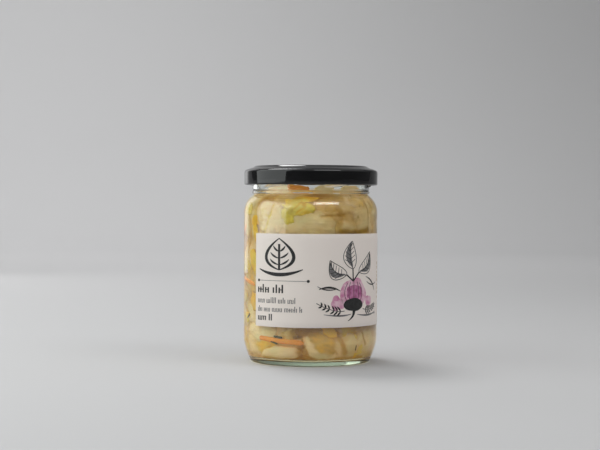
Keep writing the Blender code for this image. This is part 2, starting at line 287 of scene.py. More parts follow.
def kimchi_finish(name, white, amber, fibre_bump, scatter):
    """Pickled vegetable: pale flesh, stained amber in places and yellow towards the leaf.

    It has a faint painted glow, standing in for the light that comes to it through the rest of the jar.
    """
    made = new_finish(name)
    place = made.place()
    grain = made.node("ShaderNodeAttribute", {"attribute_name": "grain"}, out="Vector")
    tint = made.node("ShaderNodeAttribute", {"attribute_name": "tint"}, out="Color")
    dark = Wire(made, tint.socket.node.outputs["Alpha"])
    parts = made.node("ShaderNodeSeparateColor", {}, {0: tint}).socket.node.outputs
    leafy, stained, chance = (Wire(made, part) for part in parts)
    fibres = made.cloud(made.scaled(grain, (0.10, 0.95, 1.0)), 1.0, 3.0, 0.6)
    veins = made.cloud(made.scaled(grain, (0.16, 0.45, 1.0)), 1.0, 2.0, 0.5)
    wash = made.cloud(place, 70.0, 2.0, 0.5)
    mottle = made.cloud(place, 200.0, 3.0, 0.55)
    freckle = made.cloud(place, 900.0, 2.0, 0.6)
    pale = toned(white, 1.06, 1.06, 1.06)
    flesh = made.mixed(fibres.between(0.3, 0.7) * 0.78, pale, toned(white, 0.88, 0.84, 0.74))
    flesh = made.mixed(veins.between(0.55, 0.75) * 0.4, flesh, pale)
    flesh = made.mixed(chance * 0.3, flesh, toned(white, 0.95, 0.92, 0.78))
    cast = made.cloud(made.scaled(place, (1.0, 1.0, 1.3)), 48.0, 1.0)
    flesh = made.mixed(cast.between(0.48, 0.7) * 0.8, flesh, toned(white, 0.82, 0.90, 0.82))
    flesh = made.mixed(cast.between(0.48, 0.3) * 0.6, flesh, toned(white, 1.0, 0.95, 1.06))
    soaked = (stained * 1.1 + (mottle - 0.5) * 0.5 + (wash - 0.5) * 0.6).between(0.05, 1.0)
    flesh = made.mixed(soaked, flesh, amber)
    leaf = made.mixed((stained + (mottle - 0.5)).between(0.1, 1.0), LEAF_YELLOW, LEAF_GOLD)
    greened = (leafy * 1.15 + (veins - 0.5) * 0.8 + (mottle - 0.5) * 0.4).between(0.15, 1.0)
    flesh = made.mixed(greened, flesh, leaf)
    flesh = made.mixed(freckle.between(0.62, 0.8) * 0.15, flesh, toned(amber, 0.6, 0.6, 0.6))
    # dark mixes in dark leaf colour, and painted shade in folds, gaps and under the label's edge
    flesh = made.mixed(dark, flesh, DARK_LEAF_AND_SHADE)
    height = fibres * 0.6 + veins * 0.8 + mottle * 0.5
    level = made.split(place)[2]
    # share of the painted glow: stronger near the foot and in the neck, where the lamps leave the contents
    # dark
    painted_glow_share = level.between(0.034, 0.006) * 0.9 + level.between(0.098, 0.110) * 1.3 + 0.4
    warmed = made.mixed(1.0, flesh, (1.0, 0.72, 0.36), "MULTIPLY")
    return made.skin(
        {
            "Base Color": flesh,
            "Emission Color": made.mixed(painted_glow_share * 0.6, (0, 0, 0), warmed),
            "Emission Strength": PAINTED_GLOW,
            "Roughness": mottle.between(0.2, 0.8) * 0.2 + 0.35,
            "Specular IOR Level": 0.12,
            "Subsurface Weight": 0.4,
            "Subsurface Radius": scatter,
            "Subsurface Scale": 0.001,
            "Normal": made.bump(height, fibre_bump, 0.8),
        }
    )


def carrot_finish():
    made = new_finish("pickled carrot")
    grain = made.node("ShaderNodeAttribute", {"attribute_name": "grain"}, out="Vector")
    rings = made.cloud(made.scaled(grain, (0.12, 1.2, 1.0)), 1.0, 3.0, 0.6)
    patches = made.cloud(made.place(), 260.0, 2.0)
    tone = made.mixed(rings.between(0.3, 0.75), (0.82, 0.30, 0.035), (0.86, 0.41, 0.085))
    tone = made.mixed(patches.between(0.5, 0.8) * 0.5, tone, (0.78, 0.27, 0.06))
    return made.skin(
        {
            "Base Color": tone,
            "Roughness": patches * 0.2 + 0.3,
            # a painted glow, standing in for the light that comes to the carrot through the rest of the jar
            "Emission Color": tone,
            "Emission Strength": 0.6 * PAINTED_GLOW,
            "Specular IOR Level": 0.12,
            "Subsurface Weight": 0.4,
            "Subsurface Radius": (2.0, 0.8, 0.3),
            "Subsurface Scale": 0.001,
            "Normal": made.bump(rings, 0.0003, 0.7),
        }
    )


def herb_finish():
    made = new_finish("green onion")
    blotch = made.cloud(made.place(), 500.0, 2.0)
    tone = made.mixed(blotch.between(0.35, 0.65), (0.055, 0.062, 0.02), (0.12, 0.13, 0.035))
    return made.skin(
        {
            "Base Color": tone,
            "Roughness": blotch * 0.2 + 0.35,
            "Specular IOR Level": 0.12,
            "Normal": made.bump(blotch, 0.0002, 0.6),
        }
    )


def lacquer_finish():
    made = new_finish("black lacquer")
    place = made.place()
    peel = made.cloud(place, 700.0, 1.0)
    smudge = made.cloud(made.scaled(place, (1.0, 1.0, 2.5)), 60.0, 3.0, 0.6)
    tone = made.mixed(smudge.between(0.3, 0.8), (0.0035, 0.0037, 0.004), (0.007, 0.007, 0.0075))
    return made.skin(
        {
            "Base Color": tone,
            "Roughness": smudge.between(0.35, 0.9) * 0.07 + 0.04,
            "IOR": 1.5,
            "Normal": made.bump(peel, 0.00002, 0.35),
        }
    )


def lining_finish():
    """The pale coat inside the lid, with a faint painted glow standing in for what shines in through the
    glass.
    """
    made = new_finish("lid lining")
    place = made.place()
    cloudy = made.cloud(place, 150.0, 3.0)
    speck = made.cloud(place, 1400.0, 2.0)
    tone = made.mixed(cloudy.between(0.35, 0.7), (0.78, 0.765, 0.72), (0.70, 0.685, 0.64))
    return made.skin(
        {
            "Base Color": tone,
            "Roughness": cloudy * 0.15 + 0.3,
            "Specular IOR Level": 0.4,
            "Emission Color": tone,
            "Emission Strength": LINING_PAINTED_GLOW,
            "Normal": made.bump(speck, 0.00002, 0.3),
        }
    )


def paper_finish():
    made = new_finish("label paper")
    place = made.place()
    fibre = made.cloud(made.scaled(place, (1.0, 1.0, 0.6)), 2600.0, 3.0, 0.7)
    cockle = made.cloud(place, 45.0, 2.0)
    tone = made.mixed(fibre.between(0.3, 0.8) * 0.5, (0.87, 0.795, 0.735), (0.835, 0.76, 0.70))
    tone = made.mixed(cockle.between(0.35, 0.75) * 0.35, tone, (0.855, 0.775, 0.715))
    return made.skin(
        {
            "Base Color": tone,
            "Roughness": fibre * 0.15 + 0.55,
            "Specular IOR Level": 0.35,
            "Normal": made.bump(fibre * 0.25 + cockle * 3.0, 0.00012, 0.6),
        }
    )


def ink_finish(name, deep, pale, scale, wash):
    """A printed ink, with wash from 0 for a solid print to 1 for a watery one."""
    made = new_finish(name)
    place = made.place()
    pool = made.cloud(place, scale, 4.0, 0.6)
    tooth = made.cloud(place, 2600.0, 2.0)
    share = pool.between(0.42 - 0.12 * wash, 0.52 + 0.16 * wash) * wash + tooth * 0.08
    return made.skin(
        {
            "Base Color": made.mixed(share, deep, pale),
            "Roughness": tooth * 0.15 + 0.45,
            "Specular IOR Level": 0.3,
            "Normal": made.bump(tooth, 0.00002, 0.5),
        }
    )


def studio_finish():
    """The pale sweep of the studio, with painted light: brighter towards the left, toned by depth, and
    glowing under the jar's thick foot.
    """
    made = new_finish("studio sweep")
    place = made.place()
    side, depth, height = made.split(place)
    grain = made.cloud(place, 350.0, 2.0)
    # painted light: the sweep is paler towards the left and lower down, darker to the right and up the
    # backdrop
    across = (side + height * 0.55).between(-1.1, 1.5)
    front = made.mixed(across, (0.58, 0.58, 0.582), (0.385, 0.385, 0.385))
    middle = made.mixed(across, (0.53, 0.53, 0.532), (0.36, 0.36, 0.36))
    far = made.mixed(across, (0.75, 0.75, 0.752), (0.485, 0.485, 0.485))
    # painted light and shade: the tone changes with depth, paler on the backdrop, to even out how the lamps
    # fall on it
    near = made.mixed(depth.between(-0.4, 0.5), front, middle)
    flat = made.scaled(place, (1.0, 1.0, 0.0))
    away = made.node("ShaderNodeVectorMath", {"operation": "LENGTH"}, {0: flat}, out="Value")
    return made.skin(
        {
            "Base Color": made.mixed(depth.between(0.55, 1.9), near, far),
            "Roughness": grain * 0.1 + 0.75,
            "Specular IOR Level": 0.2,
            # painted pool of light: a glow on the floor under the jar's foot, for the light the thick glass
            # gathers there
            "Emission Color": made.mixed(away.between(0.034, 0.040), (0.40, 0.42, 0.30), (0, 0, 0)),
            "Emission Strength": 1.0,
            "Normal": made.bump(grain, 0.0001, 0.2),
        }
    )


# Shapes


def on_jar(radius, angle, height):
    """The point at this radius, angle and height round the jar, in metres."""
    turn = math.radians(angle)
    return Vector((radius * math.sin(turn), -radius * math.cos(turn), height)) * MM


def smooth(share):
    share = min(1.0, max(0.0, share))
    return share * share * (3 - 2 * share)


def arc(centre, radius, start, end, steps):
    """Points of an outline along an arc, from one angle to another, both included."""
    angles = [math.radians(start + (end - start) * i / steps) for i in range(steps + 1)]
    return [(centre[0] + radius * math.cos(a), centre[1] + radius * math.sin(a)) for a in angles]


def softened(outline, size, steps=4):
    """The outline with each corner rounded off over at most this length of its sides."""
    made = [outline[0]]
    for before, corner, after in zip(outline, outline[1:], outline[2:]):
        middle = Vector(corner)
        back = Vector(before) - middle
        on = Vector(after) - middle
        reach = min(size, back.length * 0.45, on.length * 0.45)
        start = middle + back.normalized() * reach
        end = middle + on.normalized() * reach
        for i in range(steps + 1):
            t = i / steps
            made.append(tuple(start * (1 - t) ** 2 + middle * (2 * t * (1 - t)) + end * t**2))
    return made + [outline[-1]]


def divided(outline, step):
    """The outline with its longer sides divided into pieces no longer than this."""
    made = [outline[0]]
    for first, second in zip(outline, outline[1:]):
        pieces = max(1, math.ceil(math.dist(first, second) / step))
        for i in range(1, pieces + 1):
            made.append(tuple(a + (b - a) * i / pieces for a, b in zip(first, second)))
    return made


def dressed(name, points, faces, material, smooth_shaded=True):
    """A piece of the part from points in metres: it faces out, rides on the jar and takes a finish."""
    mesh = bpy.data.meshes.new(name)
    mesh.from_pydata(points, [], faces)
    maker = bmesh.new()
    maker.from_mesh(mesh)
    bmesh.ops.recalc_face_normals(maker, faces=maker.faces[:])
    maker.to_mesh(mesh)
    maker.free()
    mesh.materials.append(material)
    if smooth_shaded:
        mesh.shade_smooth()
    piece = bpy.data.objects.new(name, mesh)
    bpy.context.scene.collection.objects.link(piece)
    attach(piece, "root")
    return piece


def tube_faces(first, rings, corners):
    """Faces of a closed tube, whose points start at first and go round it ring by ring."""
    faces = []
    for i in range(rings - 1):
        for j in range(corners):
            a = first + i * corners + j
            b = first + i * corners + (j + 1) % corners
            faces.append([a, b, b + corners, a + corners])
    faces.append(list(range(first, first + corners))[::-1])
    faces.append(list(range(first + (rings - 1) * corners, first + rings * corners)))
    return faces


def turned_shape(outline, segments=SEGMENTS, swell=None):
    """Points and faces of an outline turned once round the jar's axis.

    It is swollen by swell(angle, radius, height).
    """
    points = []
    rings = []
    for radius, height in outline:
        if radius < 1e-6:
            rings.append([len(points)] * segments)
            points.append(on_jar(0, 0, height))
            continue
        rings.append(list(range(len(points), len(points) + segments)))
        for i in range(segments):
            angle = 360 * i / segments
            more = swell(angle, radius, height) if swell else 0.0
            points.append(on_jar(radius + more, angle, height))
    faces = []
    for low, high in zip(rings, rings[1:]):
        for i in range(segments):
            j = (i + 1) % segments
            corners = [low[i], low[j], high[j], high[i]]
            face = [corner for k, corner in enumerate(corners) if corner != corners[k - 1]]
            faces.append(face)
    return points, faces


def heel_radius(height):
    share = max(0.0, (HEEL_TOP - height) / (HEEL_TOP - HEEL_LOW))
    return BODY_RADIUS - HEEL_INSET * share**HEEL_POWER


def shoulder(neck_radius, size, hollow):
    """The shoulder: a round start, a straight slope and a hollow round into the neck."""
    lean = math.radians(SHOULDER_SLOPE)
    convex = arc((BODY_RADIUS - SHOULDER_ROUND, SHOULDER_START), size, 0, SHOULDER_SLOPE, 14)
    hollow_start = neck_radius + hollow * (1 - math.cos(lean))
    slope_end = convex[-1][1] + (convex[-1][0] - hollow_start) / math.tan(lean)
    hollow_middle = (neck_radius + hollow, slope_end + hollow * math.sin(lean))
    return convex + arc(hollow_middle, hollow, 180 + SHOULDER_SLOPE, 180, 7)


def glass_outside():
    foot = softened(PUSH_UP + FOOT + [(38.5, 0.6), (heel_radius(HEEL_LOW), HEEL_LOW)], 0.9)
    heel = [(heel_radius(HEEL_LOW + 0.65 * i), HEEL_LOW + 0.65 * i) for i in range(21)]
    body = [(BODY_RADIUS, HEEL_TOP + 13 * i) for i in range(1, 7)]
    bead = softened(
        [
            (NECK_RADIUS, NECK_TOP - 1.4),
            (BEAD_RADIUS, NECK_TOP - 1.1),
            (BEAD_RADIUS, NECK_TOP + 0.1),
            (NECK_RADIUS + 0.3, NECK_TOP + 0.7),
            (FINISH_RADIUS, NECK_TOP + 1.3),
            (FINISH_RADIUS, NECK_TOP + 2.2),
        ],
        0.6,
    )
    finish = divided([bead[-1], (FINISH_RADIUS, RIM_HEIGHT - 1.2)], 0.32)[1:]
    return foot + heel[1:] + body + shoulder(NECK_RADIUS, SHOULDER_ROUND, SHOULDER_HOLLOW) + bead + finish


def glass_inside():
    mouth_radius = FINISH_RADIUS - NECK_WALL
    rim = softened(
        [
            (FINISH_RADIUS, RIM_HEIGHT - 1.1),
            (FINISH_RADIUS - RIM_ROUND, RIM_HEIGHT),
            (mouth_radius + RIM_ROUND, RIM_HEIGHT),
            (mouth_radius, RIM_HEIGHT - 0.9),
            (mouth_radius, RIM_HEIGHT - 4.0),
        ],
        0.5,
    )
    neck = shoulder(mouth_radius - BEAD_RISE, SHOULDER_ROUND - WALL, INNER_HOLLOW)[::-1]
    body = [(BODY_RADIUS - WALL, SHOULDER_START - 13 * i) for i in range(1, 6)]
    heel = [(heel_radius(HEEL_TOP - 0.66 * i) - WALL, HEEL_TOP - 0.66 * i) for i in range(11)]
    return rim + neck + body + heel + softened([heel[-1]] + FLOOR, 1.2)[1:]


def inner_wall():
    """The inner wall as (height, radius) from the floor's edge up."""
    wall = sorted((z, r) for r, z in glass_inside() if r > 30)
    return [pair for pair, after in zip(wall, wall[1:]) if after[0] - pair[0] > 1e-5]


INNER_WALL = inner_wall()


def inner_radius(height):
    """The radius of the jar's inner wall at this height."""
    if height <= INNER_WALL[0][0]:
        return INNER_WALL[0][1]
    low = 0
    high = len(INNER_WALL) - 1
    while high - low > 1:
        middle = (low + high) // 2
        if INNER_WALL[middle][0] <= height:
            low = middle
        else:
            high = middle
    (z0, r0), (z1, r1) = INNER_WALL[low], INNER_WALL[high]
    return r0 + (r1 - r0) * min(1.0, (height - z0) / (z1 - z0))


def fill_radius(height):
    return inner_radius(height) - CLEARANCE


def thread_swell(angle, radius, height):
    """How far a thread stands out of the glass finish at this place."""
    if radius < FINISH_RADIUS - 0.05 or not NECK_TOP + 1 < height < RIM_HEIGHT - 1:
        return 0.0
    stand = 0.0
    for number in range(THREADS):
        start = THREAD_FIRST_ANGLE + number * 360 / THREADS
        along = ((angle - start) % 360) / THREAD_SPAN
        if along < 1:
            full = smooth(min(0.25 + 4 * along, 0.25 + 4 * (1 - along)))
            reach = abs(height - THREAD_LOW - THREAD_RISE * along) / (THREAD_HALF_HEIGHT * full)
            stand = max(stand, THREAD_STAND * full * (1 - smooth(reach)))
    return stand


def make_glass():
    points, faces = turned_shape(glass_outside() + glass_inside(), 240, thread_swell)
    jar = dressed("glass_body", points, faces, glass_finish())
    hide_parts("jar_glass")


def make_lid():
    """The pressed lid: its sunk middle, raised rim, rounded corner, skirt, curl and lugs."""
    face = [
        (0.0, 124.65),
        (9.6, 124.75),
        (11.2, 125.2),
        (32.6, 125.25),
        (34.2, LID_TOP),
        (35.9, LID_TOP),
        (37.4, 124.75),
        (39.4, 124.1),
    ]
    corner = arc((LID_RADIUS - LID_CORNER_ROUND, LID_SKIRT_TOP), LID_CORNER_ROUND, 62, 0, 10)
    curl = arc((LID_RADIUS - CURL_RADIUS, LID_BOTTOM + CURL_RADIUS), CURL_RADIUS, 0, -180, 14)
    inner_skirt = LID_RADIUS - LID_SHEET
    inside = [
        (LID_RADIUS - 1.6 * CURL_RADIUS, LID_BOTTOM + 2.1 * CURL_RADIUS),
        (inner_skirt, LID_BOTTOM + 2.7 * CURL_RADIUS),
        (inner_skirt, LID_SKIRT_TOP),
        (LID_RADIUS - 1.2, LID_SKIRT_TOP + 1.35),
        (39.2, 123.65),
        (38.2, RIM_HEIGHT + 0.3),
        (34.6, RIM_HEIGHT + 0.3),
        (33.2, 124.75),
        (11.3, 124.7),
        (9.7, 124.25),
        (0.0, 124.15),
    ]
    outline = softened(face + corner[:1], 0.8)[:-1] + corner + curl + softened([curl[-1]] + inside, 0.5)[1:]
    points, faces = turned_shape(outline)
    for number in range(THREADS):
        start = THREAD_FIRST_ANGLE + number * 360 / THREADS + LUG_START
        add_lug(points, faces, start)
    lid = dressed("lid_shell", points, faces, lacquer_finish())
    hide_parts("lid")


def make_lining():
    """The pale coat and sealing ring inside the lid."""
    shown = [(0.0, 124.05), (9.7, 124.15), (11.3, 124.6), (33.0, 124.6), (34.4, 123.42)]
    shown += [(38.4, 123.42), (39.4, 123.4), (41.5, 122.5), (42.4, 121.2), (42.4, 116.6)]
    hidden = [(42.62, 116.6), (42.62, 121.4), (41.85, 122.85), (39.3, 123.75)]
    hidden += [(33.2, 124.82), (11.3, 124.78), (9.7, 124.33), (0.0, 124.23)]
    points, faces = turned_shape(shown + hidden)
    lining = dressed("lid_lining", points, faces, lining_finish())
    lining.data.set_sharp_from_angle(angle=SHARP_EDGE)
    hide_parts("lid")


def add_lug(points, faces, start):
    """Adds one lug, a rounded bar pressed in from the lid's curl."""
    steps = 16
    corners = 12
    first = len(points)
    middle = (LUG_LOW + LUG_HIGH) / 2
    half = (LUG_HIGH - LUG_LOW) / 2
    for i in range(steps + 1):
        along = i / steps
        full = math.sqrt(max(0.0, 1 - abs(2 * along - 1) ** 4))
        nose = LID_RADIUS - CURL_RADIUS - (LID_RADIUS - CURL_RADIUS - LUG_INNER_RADIUS) * max(0.25, full)
        for j in range(corners):
            turn = math.tau * j / corners
            deep = 0.5 + 0.5 * math.cos(turn)
            radius = nose + (LID_RADIUS - CURL_RADIUS - nose) * deep
            points.append(on_jar(radius, start + LUG_SPAN * along, middle + half * math.sin(turn)))
    faces += tube_faces(first, steps + 1, corners)


# Label and its print


def make_label():
    """The paper skin, wrapped round the body up to the clear window on the left."""
    columns = 200
    section = [
        (LABEL_INNER, LABEL_LOW + 0.03),
        (LABEL_INNER, LABEL_HIGH - 0.03),
        (LABEL_OUTER - 0.03, LABEL_HIGH),
        (LABEL_OUTER, LABEL_HIGH - 0.06),
        (LABEL_OUTER, LABEL_LOW + 0.06),
        (LABEL_OUTER - 0.03, LABEL_LOW),
    ]
    section = divided(section + section[:1], 4.0)[:-1]
    points = []
    for i in range(columns + 1):
        angle = LABEL_LEFT + (LABEL_RIGHT - LABEL_LEFT) * i / columns
        points += [on_jar(radius, angle, height) for radius, height in section]
    faces = tube_faces(0, columns + 1, len(section))
    label = dressed("label_skin", points, faces, paper_finish())
    label.data.set_sharp_from_angle(angle=SHARP_EDGE)
    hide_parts("label")


def bar(left, right, low, high):
    """A bar, as (distance along the label, height) points."""
    return [(left, low), (right, low), (right, high), (left, high)]


def leaf_sides(start, end, width, sweep=0.0, steps=14):
    """The lower and upper side of a leaf shape, bent to one side by sweep."""
    start = Vector(start)
    end = Vector(end)
    across = Vector((start.y - end.y, end.x - start.x)).normalized()
    lower = []
    upper = []
    for i in range(steps + 1):
        t = i / steps
        middle = start.lerp(end, t) + across * (sweep * 4 * t * (1 - t))
        half = width / 2 * math.sin(math.pi * t**0.8) ** 0.85
        lower.append(tuple(middle - across * half))
        upper.append(tuple(middle + across * half))
    return lower, upper


def leaf_shape(start, end, width, sweep=0.0):
    lower, upper = leaf_sides(start, end, width, sweep)
    return lower + upper[::-1][1:-1]


def brushed(path, widths):
    """A brush stroke along points, with a width at each or one for all."""
    if isinstance(widths, float):
        widths = [widths] * len(path)
    left = []
    right = []
    for i, (here, width) in enumerate(zip(path, widths)):
        before = Vector(path[max(0, i - 1)])
        after = Vector(path[min(len(path) - 1, i + 1)])
        across = Vector((before.y - after.y, after.x - before.x)).normalized()
        left.append(tuple(Vector(here) + across * width / 2))
        right.append(tuple(Vector(here) - across * width / 2))
    return right + left[::-1]


def curved(start, middle, end, steps=12):
    """Points along a curve that leaves start, is drawn towards middle and ends at end."""
    made = []
    for i in range(steps + 1):
        t = i / steps
        point = [a * (1 - t) ** 2 + b * 2 * t * (1 - t) + c * t**2 for a, b, c in zip(start, middle, end)]
        made.append(tuple(point))
    return made


def tapered(width, steps=12):
    """Widths of a stroke that swells from thin to this width and back."""
    return [width * (0.25 + 0.75 * math.sin(math.pi * i / steps)) for i in range(steps + 1)]


def swelling(start, middle, end, width, steps=12):
    """A curved brush stroke that swells to this width and thins again."""
    return brushed(curved(start, middle, end, steps), tapered(width, steps))


def blot(centre, radius, unevenness, seed, squash=1.0, steps=40):
    """A round blot with an uneven edge."""
    made = []
    for i in range(steps):
        turn = math.tau * i / steps
        way = Vector((math.cos(turn), math.sin(turn) * squash))
        bulge = noise.noise(Vector((way.x * 1.4, way.y * 1.4, seed)))
        made.append(tuple(Vector(centre) + way * radius * (1 + unevenness * bulge)))
    return made


def inked(name, shapes, lift, material):
    """Flat shapes printed on the label, each a closed film a few hundredths of a millimetre thick."""
    maker = bmesh.new()
    for shape in shapes:
        film = bmesh.new()
        film.faces.new([film.verts.new((along, 0, height)) for along, height in shape])
        lowest = min(point[0] for point in shape)
        highest = max(point[0] for point in shape)
        cut = math.ceil(lowest / INK_STEP) * INK_STEP
        while cut < highest:
            bmesh.ops.bisect_plane(
                film,
                geom=film.verts[:] + film.edges[:] + film.faces[:],
                plane_co=(cut, 0, 0),
                plane_no=(1, 0, 0),
            )
            cut += INK_STEP
        bmesh.ops.triangulate(film, faces=film.faces[:])
        below = set(film.verts)
        bmesh.ops.extrude_face_region(film, geom=film.faces[:])
        for vert in film.verts:
            radius = LABEL_OUTER + (-0.02 if vert in below else lift)
            vert.co = on_jar(radius, math.degrees(vert.co.x / LABEL_OUTER), vert.co.z)
        shell = bpy.data.meshes.new("film")
        film.to_mesh(shell)
        film.free()
        maker.from_mesh(shell)
        bpy.data.meshes.remove(shell)
    mesh = bpy.data.meshes.new(name)
    maker.to_mesh(mesh)
    maker.free()
    points = [vert.co.copy() for vert in mesh.vertices]
    faces = [list(face.vertices) for face in mesh.polygons]
    bpy.data.meshes.remove(mesh)
    return dressed(name, points, faces, material, smooth_shaded=False)


def patter(left, right, low, high, weight, seed):
    """A line of strokes with the weight and rhythm of print, but no letters."""
    draw = random.Random(seed)
    middle = low + (high - low) * 0.66
    strokes = []
    at = left
    to_gap = draw.randint(4, 7)
    while at + weight < right:
        strokes.append(bar(at, at + weight, low, high if draw.random() < 0.22 else middle))
        if to_gap > 1 and draw.random() < 0.62 and at + 2.2 * weight < right:
            level = draw.choice([low, middle - weight * 0.55, (low + middle) / 2])
            strokes.append(bar(at + weight, at + 2.0 * weight, level, level + weight * 0.55))
        at += weight * 2.0
        to_gap -= 1
        if to_gap == 0:
            at += weight * 1.8
            to_gap = draw.randint(4, 8)
    return strokes


def emblem():
    """A plain bold mark: a leaf with its veins, standing over a bowed line."""
    middle = -20.5
    foot = (middle, 60.4)
    tip = (middle, 80.0)
    shapes = [brushed(curved(foot, (middle, 66), (middle, 76.5)), 1.5)]
    for side in (-1, 1):
        shapes.append(swelling(foot, (middle + side * 19.5, 66.5), tip, 2.2, 20))
        for rise, reach in ((63.5, 6.6), (67.6, 6.2), (71.8, 4.2)):
            bend = (middle + side * reach * 0.7, rise + 1.0)
            shapes.append(swelling((middle, rise), bend, (middle + side * reach, rise + 3.6), 1.2))
    shapes.append(swelling((middle - 15.5, 60.8), (middle, 54.2), (middle + 15.5, 60.8), 2.3, 16))
    return shapes


def leaf_drawing(start, end, width, sweep, weight):
    """A leaf drawn as a line round it, one down its middle and a few across."""
    lower, upper = leaf_sides(start, end, width, sweep)
    middle = [tuple((Vector(a) + Vector(b)) / 2) for a, b in zip(lower, upper)]
    lines = [brushed(lower, weight), brushed(upper, weight), brushed(middle[:-1], weight)]
    for i in range(3, 12, 2):
        for edge in (lower, upper):
            out = Vector(middle[i + 2]).lerp(Vector(edge[i + 2]), 0.8)
            lines.append(brushed([middle[i], tuple(out)], weight * 0.8))
    return lines


def sprig(start, middle, end, leaves, size):
    """A thin stem with pairs of small leaves."""
    path = curved(start, middle, end, 24)
    shapes = [brushed(path, 0.4)]
    for i in range(leaves):
        step = 4 + round(19 * i / leaves)
        way = (Vector(path[step + 1]) - Vector(path[step])).normalized()
        for side in (-1, 1):
            out = Vector((way.x - side * way.y * 1.1, way.y + side * way.x * 1.1)).normalized()
            tip = Vector(path[step]) + out * size * (1 - 0.45 * i / leaves)
            shapes.append(leaf_shape(path[step], tuple(tip), size * 0.26, side * 0.2))
    return shapes


def radish():
    """The picture on the front: a cut radish with its leaves, as shapes for each ink."""
    crown = (28.5, 53.5)
    pink = [blot((29, 45.5), 10.4, 0.16, 4.0, 0.94)]
    pink += [blot((17, 39.5), 4.6, 0.4, 9.0), blot((43, 41), 3.6, 0.4, 7.0)]
    plum = [blot((29.5, 46.5), 6.2, 0.3, 12.0, 0.8)]
    black = [blot((29, 38.8), 7.9, 0.1, 3.0, 0.52)]
    black.append(brushed(curved((29, 36), (30, 31.5), (24.5, 28.8)), [2.6 - 0.19 * i for i in range(13)]))
    grey = []
    leaves = [((12.0, 66.5), 9.4, 3.4), ((27.5, 78.4), 9.8, 2.0), ((44.5, 71.5), 9.0, -3.2)]
    for tip, width, sweep in leaves:
        foot = Vector(crown).lerp(Vector(tip), 0.3)
        black += leaf_drawing(tuple(foot), tip, width, sweep, 0.42)
        black.append(brushed([crown, tuple(foot)], 0.9))
        grey.append(leaf_shape(tuple(foot.lerp(Vector(tip), 0.06)), tip, width * 0.42, sweep * 1.5))
    for turn in (-38, -20, 0, 21, 39):
        lean = math.radians(turn)
        start = (29 + 7.5 * math.sin(lean), 54.0 - 2.6 * abs(math.sin(lean)))
        end = (29 + 8 * math.sin(lean), 40.5)
        black.append(brushed(curved(start, (29 + 15 * math.sin(lean), 46.5), end), 0.32))
    black += sprig((22, 35), (14, 34), (3.5, 40), 6, 4.2)
    black += sprig((37, 36), (45, 33.5), (53, 38.5), 6, 4.0)
    grey += [swelling((8, 33.0), (20, 31.2), (27, 33.0), 1.1)]
    grey += [swelling((32, 32.6), (42, 30.8), (51, 32.8), 1.2)]
    black += [swelling((5, 48.5), (12, 51.5), (19, 47.5), 1.3)]
    black += [swelling((4, 50.5), (9, 47.0), (17, 48.8), 0.8)]
    black += [swelling((40, 56), (48, 54), (52, 47), 1.0)]
    black += [swelling((41, 53), (47, 49), (54, 52), 0.8)]
    return pink, plum, grey, black


def make_print():
    """The label's print: plain shapes in the colours and weight of a printed label, with no words."""
    pink, plum, grey, black = radish()
    black += emblem()
    black += patter(-37.4, -16.8, 46.0, 51.2, 1.05, 3)
    black += patter(-37.4, -25.0, 28.8, 32.8, 0.8, 8)
    black += [blot((-36.6, 53.6), 0.9, 0.0, 1.0, 1.0, 16), blot((-1.6, 53.6), 0.95, 0.0, 1.0, 1.0, 16)]
    grey += patter(-37.4, -9.4, 39.6, 43.2, 0.55, 5)
    grey += patter(-37.4, -4.9, 34.2, 37.8, 0.55, 6)
    grey += [bar(-35.7, -2.5, 53.45, 53.75)]
    grey += patter(49.6, 53.4, 32.0, 33.6, 0.4, 11)
    ochre = []
    for number in range(9):
        low = 41.6 + 2.65 * number
        ochre.append(bar(58.2, 59.2, low, low + (2.0 if number % 3 else 1.3)))
    for line in range(11):
        low = 74.0 - 3.3 * line
        grey += patter(92, 128 if line % 4 else 114, low, low + 1.9, 0.42, 20 + line)
    black += patter(92, 113, 77.6, 80.4, 0.75, 41)
    for row in range(7):
        low = 34.4 + 4.4 * row
        black.append(bar(134, 164, low, low + 0.25))
        grey += patter(134, 148, low + 1.1, low + 3.0, 0.42, 50 + row)
        grey += patter(157, 164, low + 1.1, low + 3.0, 0.42, 70 + row)
    inks = [
        ("pink", pink, 0.02, (0.55, 0.17, 0.33), (0.76, 0.52, 0.60), 260.0, 1.0),
        ("plum", plum, 0.035, (0.30, 0.06, 0.17), (0.52, 0.20, 0.36), 300.0, 1.0),
        ("grey", grey, 0.05, (0.13, 0.125, 0.125), (0.24, 0.235, 0.235), 420.0, 0.7),
        ("black", black, 0.08, (0.02, 0.02, 0.02), (0.045, 0.045, 0.045), 500.0, 0.4),
        ("ochre", ochre, 0.04, (0.42, 0.27, 0.12), (0.55, 0.38, 0.20), 500.0, 0.4),
    ]
    for name, shapes, lift, deep, pale, scale, wash in inks:
        ink = ink_finish(f"{name} ink", deep, pale, scale, wash)
        inked(f"label_print_{name}", shapes, lift, ink)



# Kimchi


@dataclass
class Chunk:
    """A soft piece pressed against the glass.

    Its middle is at this angle and height. It is wide along its fibres, tall across them and thick
    towards the axis, turned in the plane of the wall, tucked in at one end and sunk away from the
    glass. leafy and stained give its colour.
    """

    angle: float
    height: float
    wide: float
    tall: float
    thick: float = 6.0
    turn: float = 0.0
    tuck: float = 0.0
    sunk: float = 0.0
    leafy: float = 0.0
    leafy_end: float = 0.0
    stained: float = 0.2
    lumps: float = 1.6
    fibres: float = 0.16
    ruffle: float = 0.7
    ragged: float = 0.28
    power: float = CHUNK_POWER


